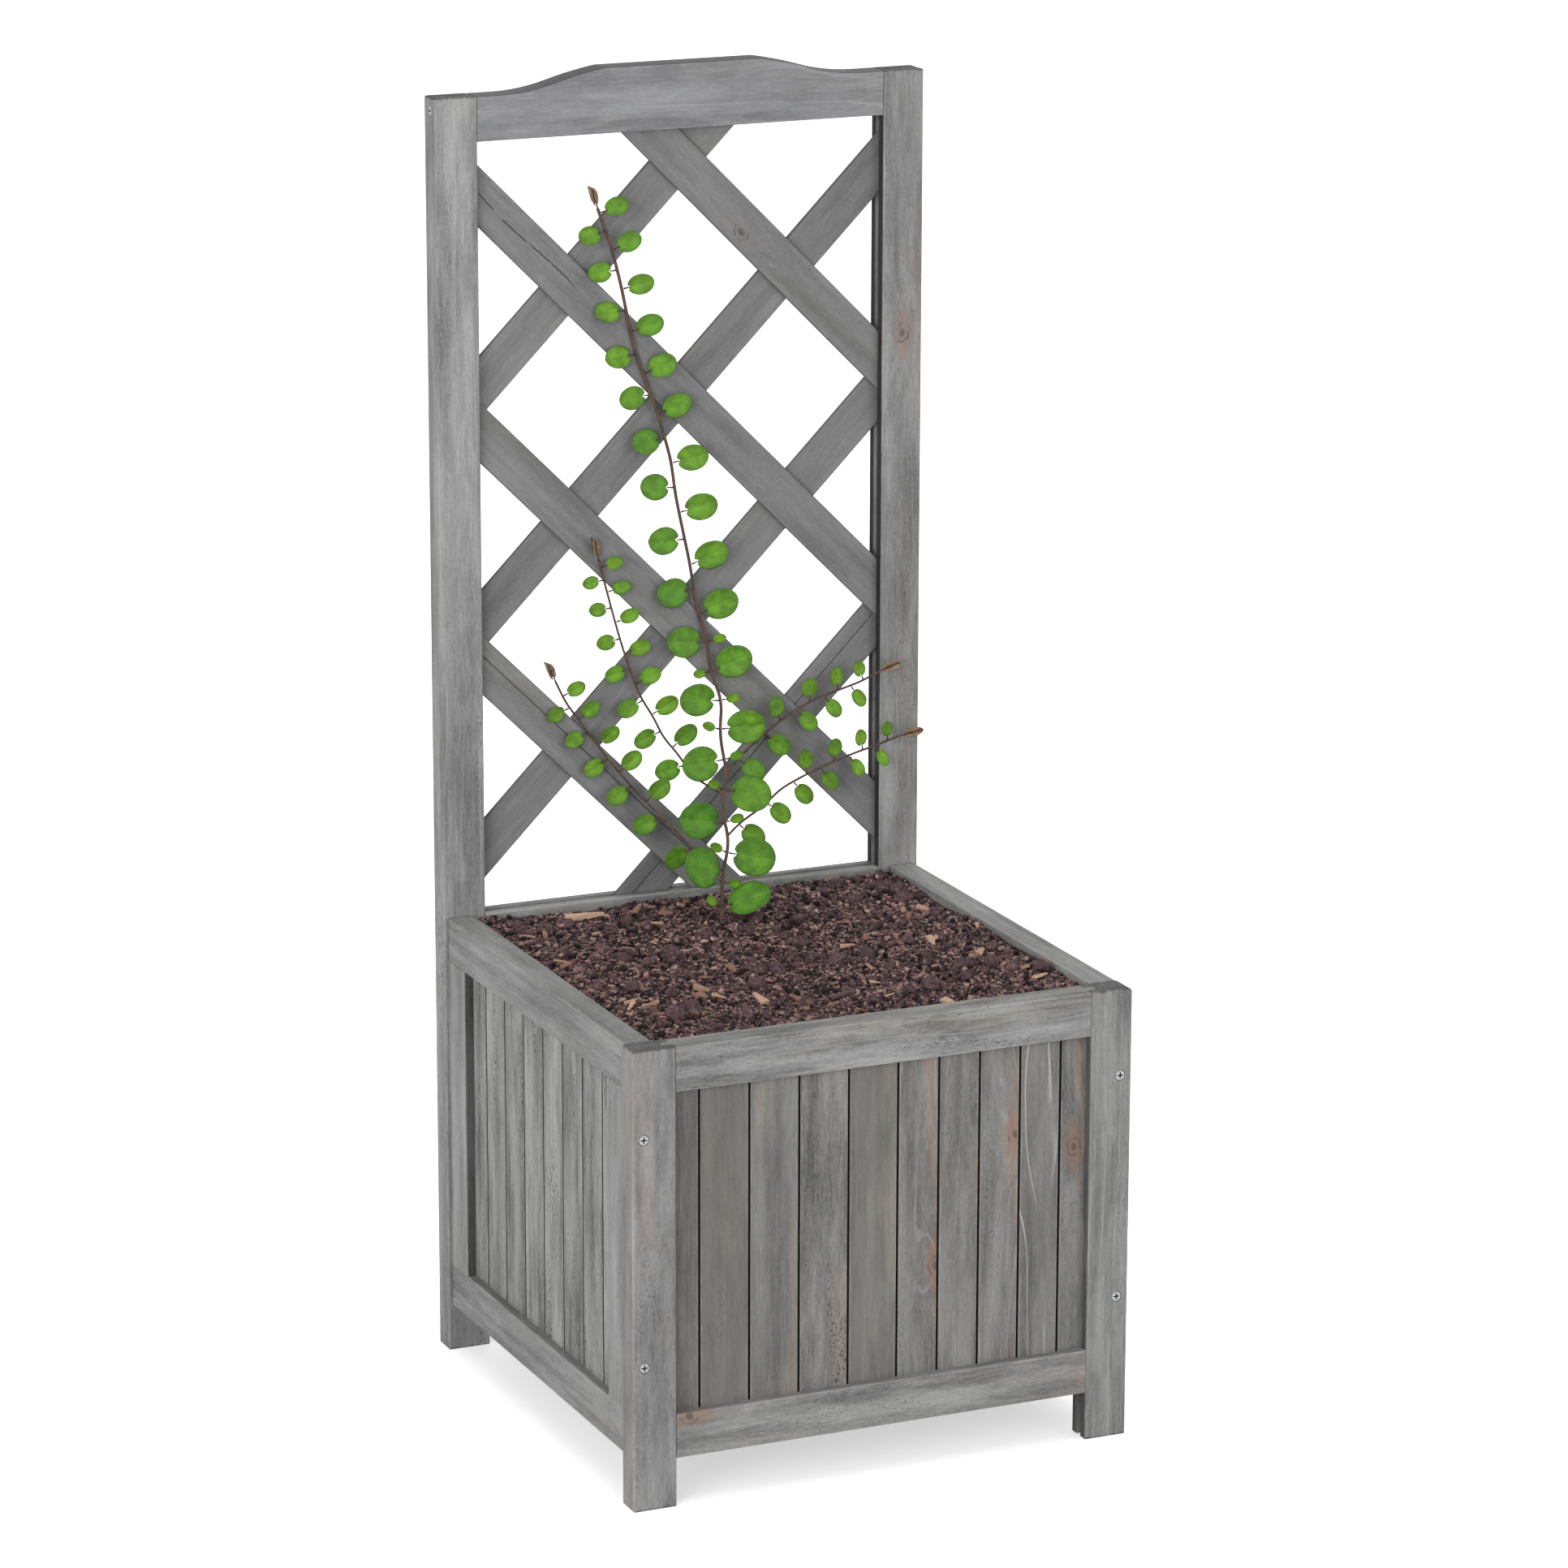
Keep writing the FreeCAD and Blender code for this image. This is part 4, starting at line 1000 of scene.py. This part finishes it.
def leaf_stalk():
    """Stalk one metre long along X, thicker where it leaves the stem."""
    start_primitive()
    bpy.ops.mesh.primitive_cylinder_add(vertices=7, radius=0.45 * mm, depth=1.0,
                                        location=(0.5, 0, 0), rotation=(0, math.radians(90), 0))
    piece = added("leaf_stalk")
    only(piece)
    bpy.ops.object.mode_set(mode="EDIT")
    select_points(piece, lambda place: place.x < 0.5)
    bpy.ops.transform.resize(value=(1, 1.7, 1.7), center_override=(0, 0, 0))
    bpy.ops.object.mode_set(mode="OBJECT")
    bpy.ops.object.shade_smooth()
    return piece


def placing(leaf, sizes):
    """Matrix that puts a master made along X at a leaf's place, scaled by sizes."""
    start, ahead, across, facing = leaf[:4]
    turn = Matrix((ahead, across, facing)).transposed().to_4x4()
    return Matrix.Translation(start) @ turn @ Matrix.Diagonal((*sizes, 1))


def leaf_material():
    """Waxy green blade with pale veins from its UV map. Its tone is 0 for young and 1 for old."""
    material, nodes, shader = new_material("climber_leaf")
    blade = nodes.add("ShaderNodeUVMap", uv_map="blade").outputs[0]
    wobble = nodes.noise_vector(blade, (5, 5, 5), 0.07)
    along, across, _ = nodes.parts(nodes.vector("ADD", blade, wobble))
    aside = nodes.math("ABSOLUTE", nodes.math("SUBTRACT", across, 0.5))
    middle_vein = nodes.step(aside, 0.022, 0.004)
    slant = nodes.math("SUBTRACT", along, nodes.times(aside, 1.25))
    turn = nodes.math("FRACT", nodes.times(nodes.math("ADD", slant, 1.0), 5.5))
    off = nodes.math("ABSOLUTE", nodes.math("SUBTRACT", turn, 0.5))
    side_vein = nodes.times(nodes.step(off, 0.085, 0.02), nodes.step(aside, 0.44, 0.25))
    net = nodes.add("ShaderNodeTexVoronoi", {"Vector": blade, "Scale": 17.0},
                    feature="DISTANCE_TO_EDGE")
    fine_vein = nodes.step(net.outputs["Distance"], 0.06, 0.01, 0.0, 0.35)
    veins = nodes.larger(nodes.larger(middle_vein, side_vein), fine_vein)
    blotch = nodes.noise(nodes.object_place(), (130, 130, 130), 2.0)
    colour = nodes.mix(nodes.piece_tone(), young_leaf, old_leaf)
    colour = nodes.scaled(colour, nodes.step(blotch, 0.3, 0.7, 0.75, 1.25))
    colour = nodes.mix(nodes.times(veins, 0.30), colour, leaf_vein)
    rim = nodes.vector("DISTANCE", blade, (0.5, 0.5, 0.0))
    colour = nodes.scaled(colour, nodes.step(rim, 0.24, 0.49, 1.12, 0.80))
    colour = nodes.scaled(colour, nodes.step(rim, 0.480, 0.494, 1.0, 0.65))
    nodes.fill(shader, {"Base Color": colour, "Specular IOR Level": 0.28,
                        "Roughness": nodes.step(blotch, 0.3, 0.7, 0.42, 0.56)})
    nodes.bump(shader, nodes.sum((veins, -1.0), (blotch, 0.6)), 0.0006, 0.7)
    return material


def bark_material(name, dark, red):
    """Thin reddish bark of stems, stalks and buds."""
    material, nodes, shader = new_material(name)
    where = nodes.object_place()
    spots = nodes.noise(where, (260, 260, 90))
    fine = nodes.noise(where, (1600, 1600, 500), 2.0)
    colour = nodes.mix(nodes.step(spots, 0.36, 0.64), dark, red)
    colour = nodes.scaled(colour, nodes.step(fine, 0.3, 0.7, 0.8, 1.15))
    nodes.fill(shader, {"Base Color": colour, "Roughness": nodes.step(spots, 0.3, 0.7, 0.5, 0.7)})
    nodes.bump(shader, fine, 0.0003, 0.6)
    return material


def thickened(piece, thickness):
    modifier = piece.modifiers.new("sheet", "SOLIDIFY")
    modifier.thickness = thickness
    modifier.offset = 0.0
    apply_modifiers(piece)
    bpy.ops.object.shade_smooth()


def dress_climber():
    """Leaves, stalks and tip buds in place of the plain ones, and bark on the stems."""
    draw = random.Random(31)
    masters = [leaf_blade("blade", fold) for fold in blade_folds]
    bud_master = leaf_blade("bud", bud_fold)
    stalk_master = leaf_stalk()
    blades = []
    buds = []
    stalks = []
    for leaf in leaf_parts():
        length, width = leaf[4:]
        folded = width < bud_slimness * length
        shift = Matrix.Translation(leaf[1] * stalk_length)
        master = bud_master if folded else draw.choice(masters)
        roll = Matrix.Rotation(draw.uniform(-0.12, 0.12), 4, "X")
        copy = copy_of(master, shift @ placing(leaf, (length, width, length)) @ roll)
        age = min(1.0, length / large_leaf) * 0.8 + draw.uniform(-0.15, 0.2)
        tone_points(copy, max(0.0, age))
        (buds if folded else blades).append(copy)
        reach = stalk_length + length * 0.10
        stalks.append(copy_of(stalk_master, placing(leaf, (reach, 1, 1))))
    for master in (*masters, bud_master, stalk_master):
        bpy.data.objects.remove(master)
    leaves = joined(blades, "climber_leaves")
    thickened(leaves, leaf_sheet)
    tips = joined(buds, "climber_buds")
    thickened(tips, leaf_sheet)
    stems = joined(stalks, "leaf_stalks")
    bark = bark_material("climber_bark", *bark_tones)
    set_material(leaves, leaf_material())
    set_material(tips, bark_material("climber_bud", *bud_tones))
    set_material(stems, bark)
    set_material(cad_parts["vine_stems"], bark)
    for piece in (leaves, tips, stems):
        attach(piece, "root")
    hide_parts("vine_leaves")


wood_grain = grain_group()
board_edges = edge_group()
dress_boards()
dress_screws()
dress_soil()
dress_climber()
add_camera()
add_studio()

bpy.context.scene.view_settings.view_transform = "Standard"
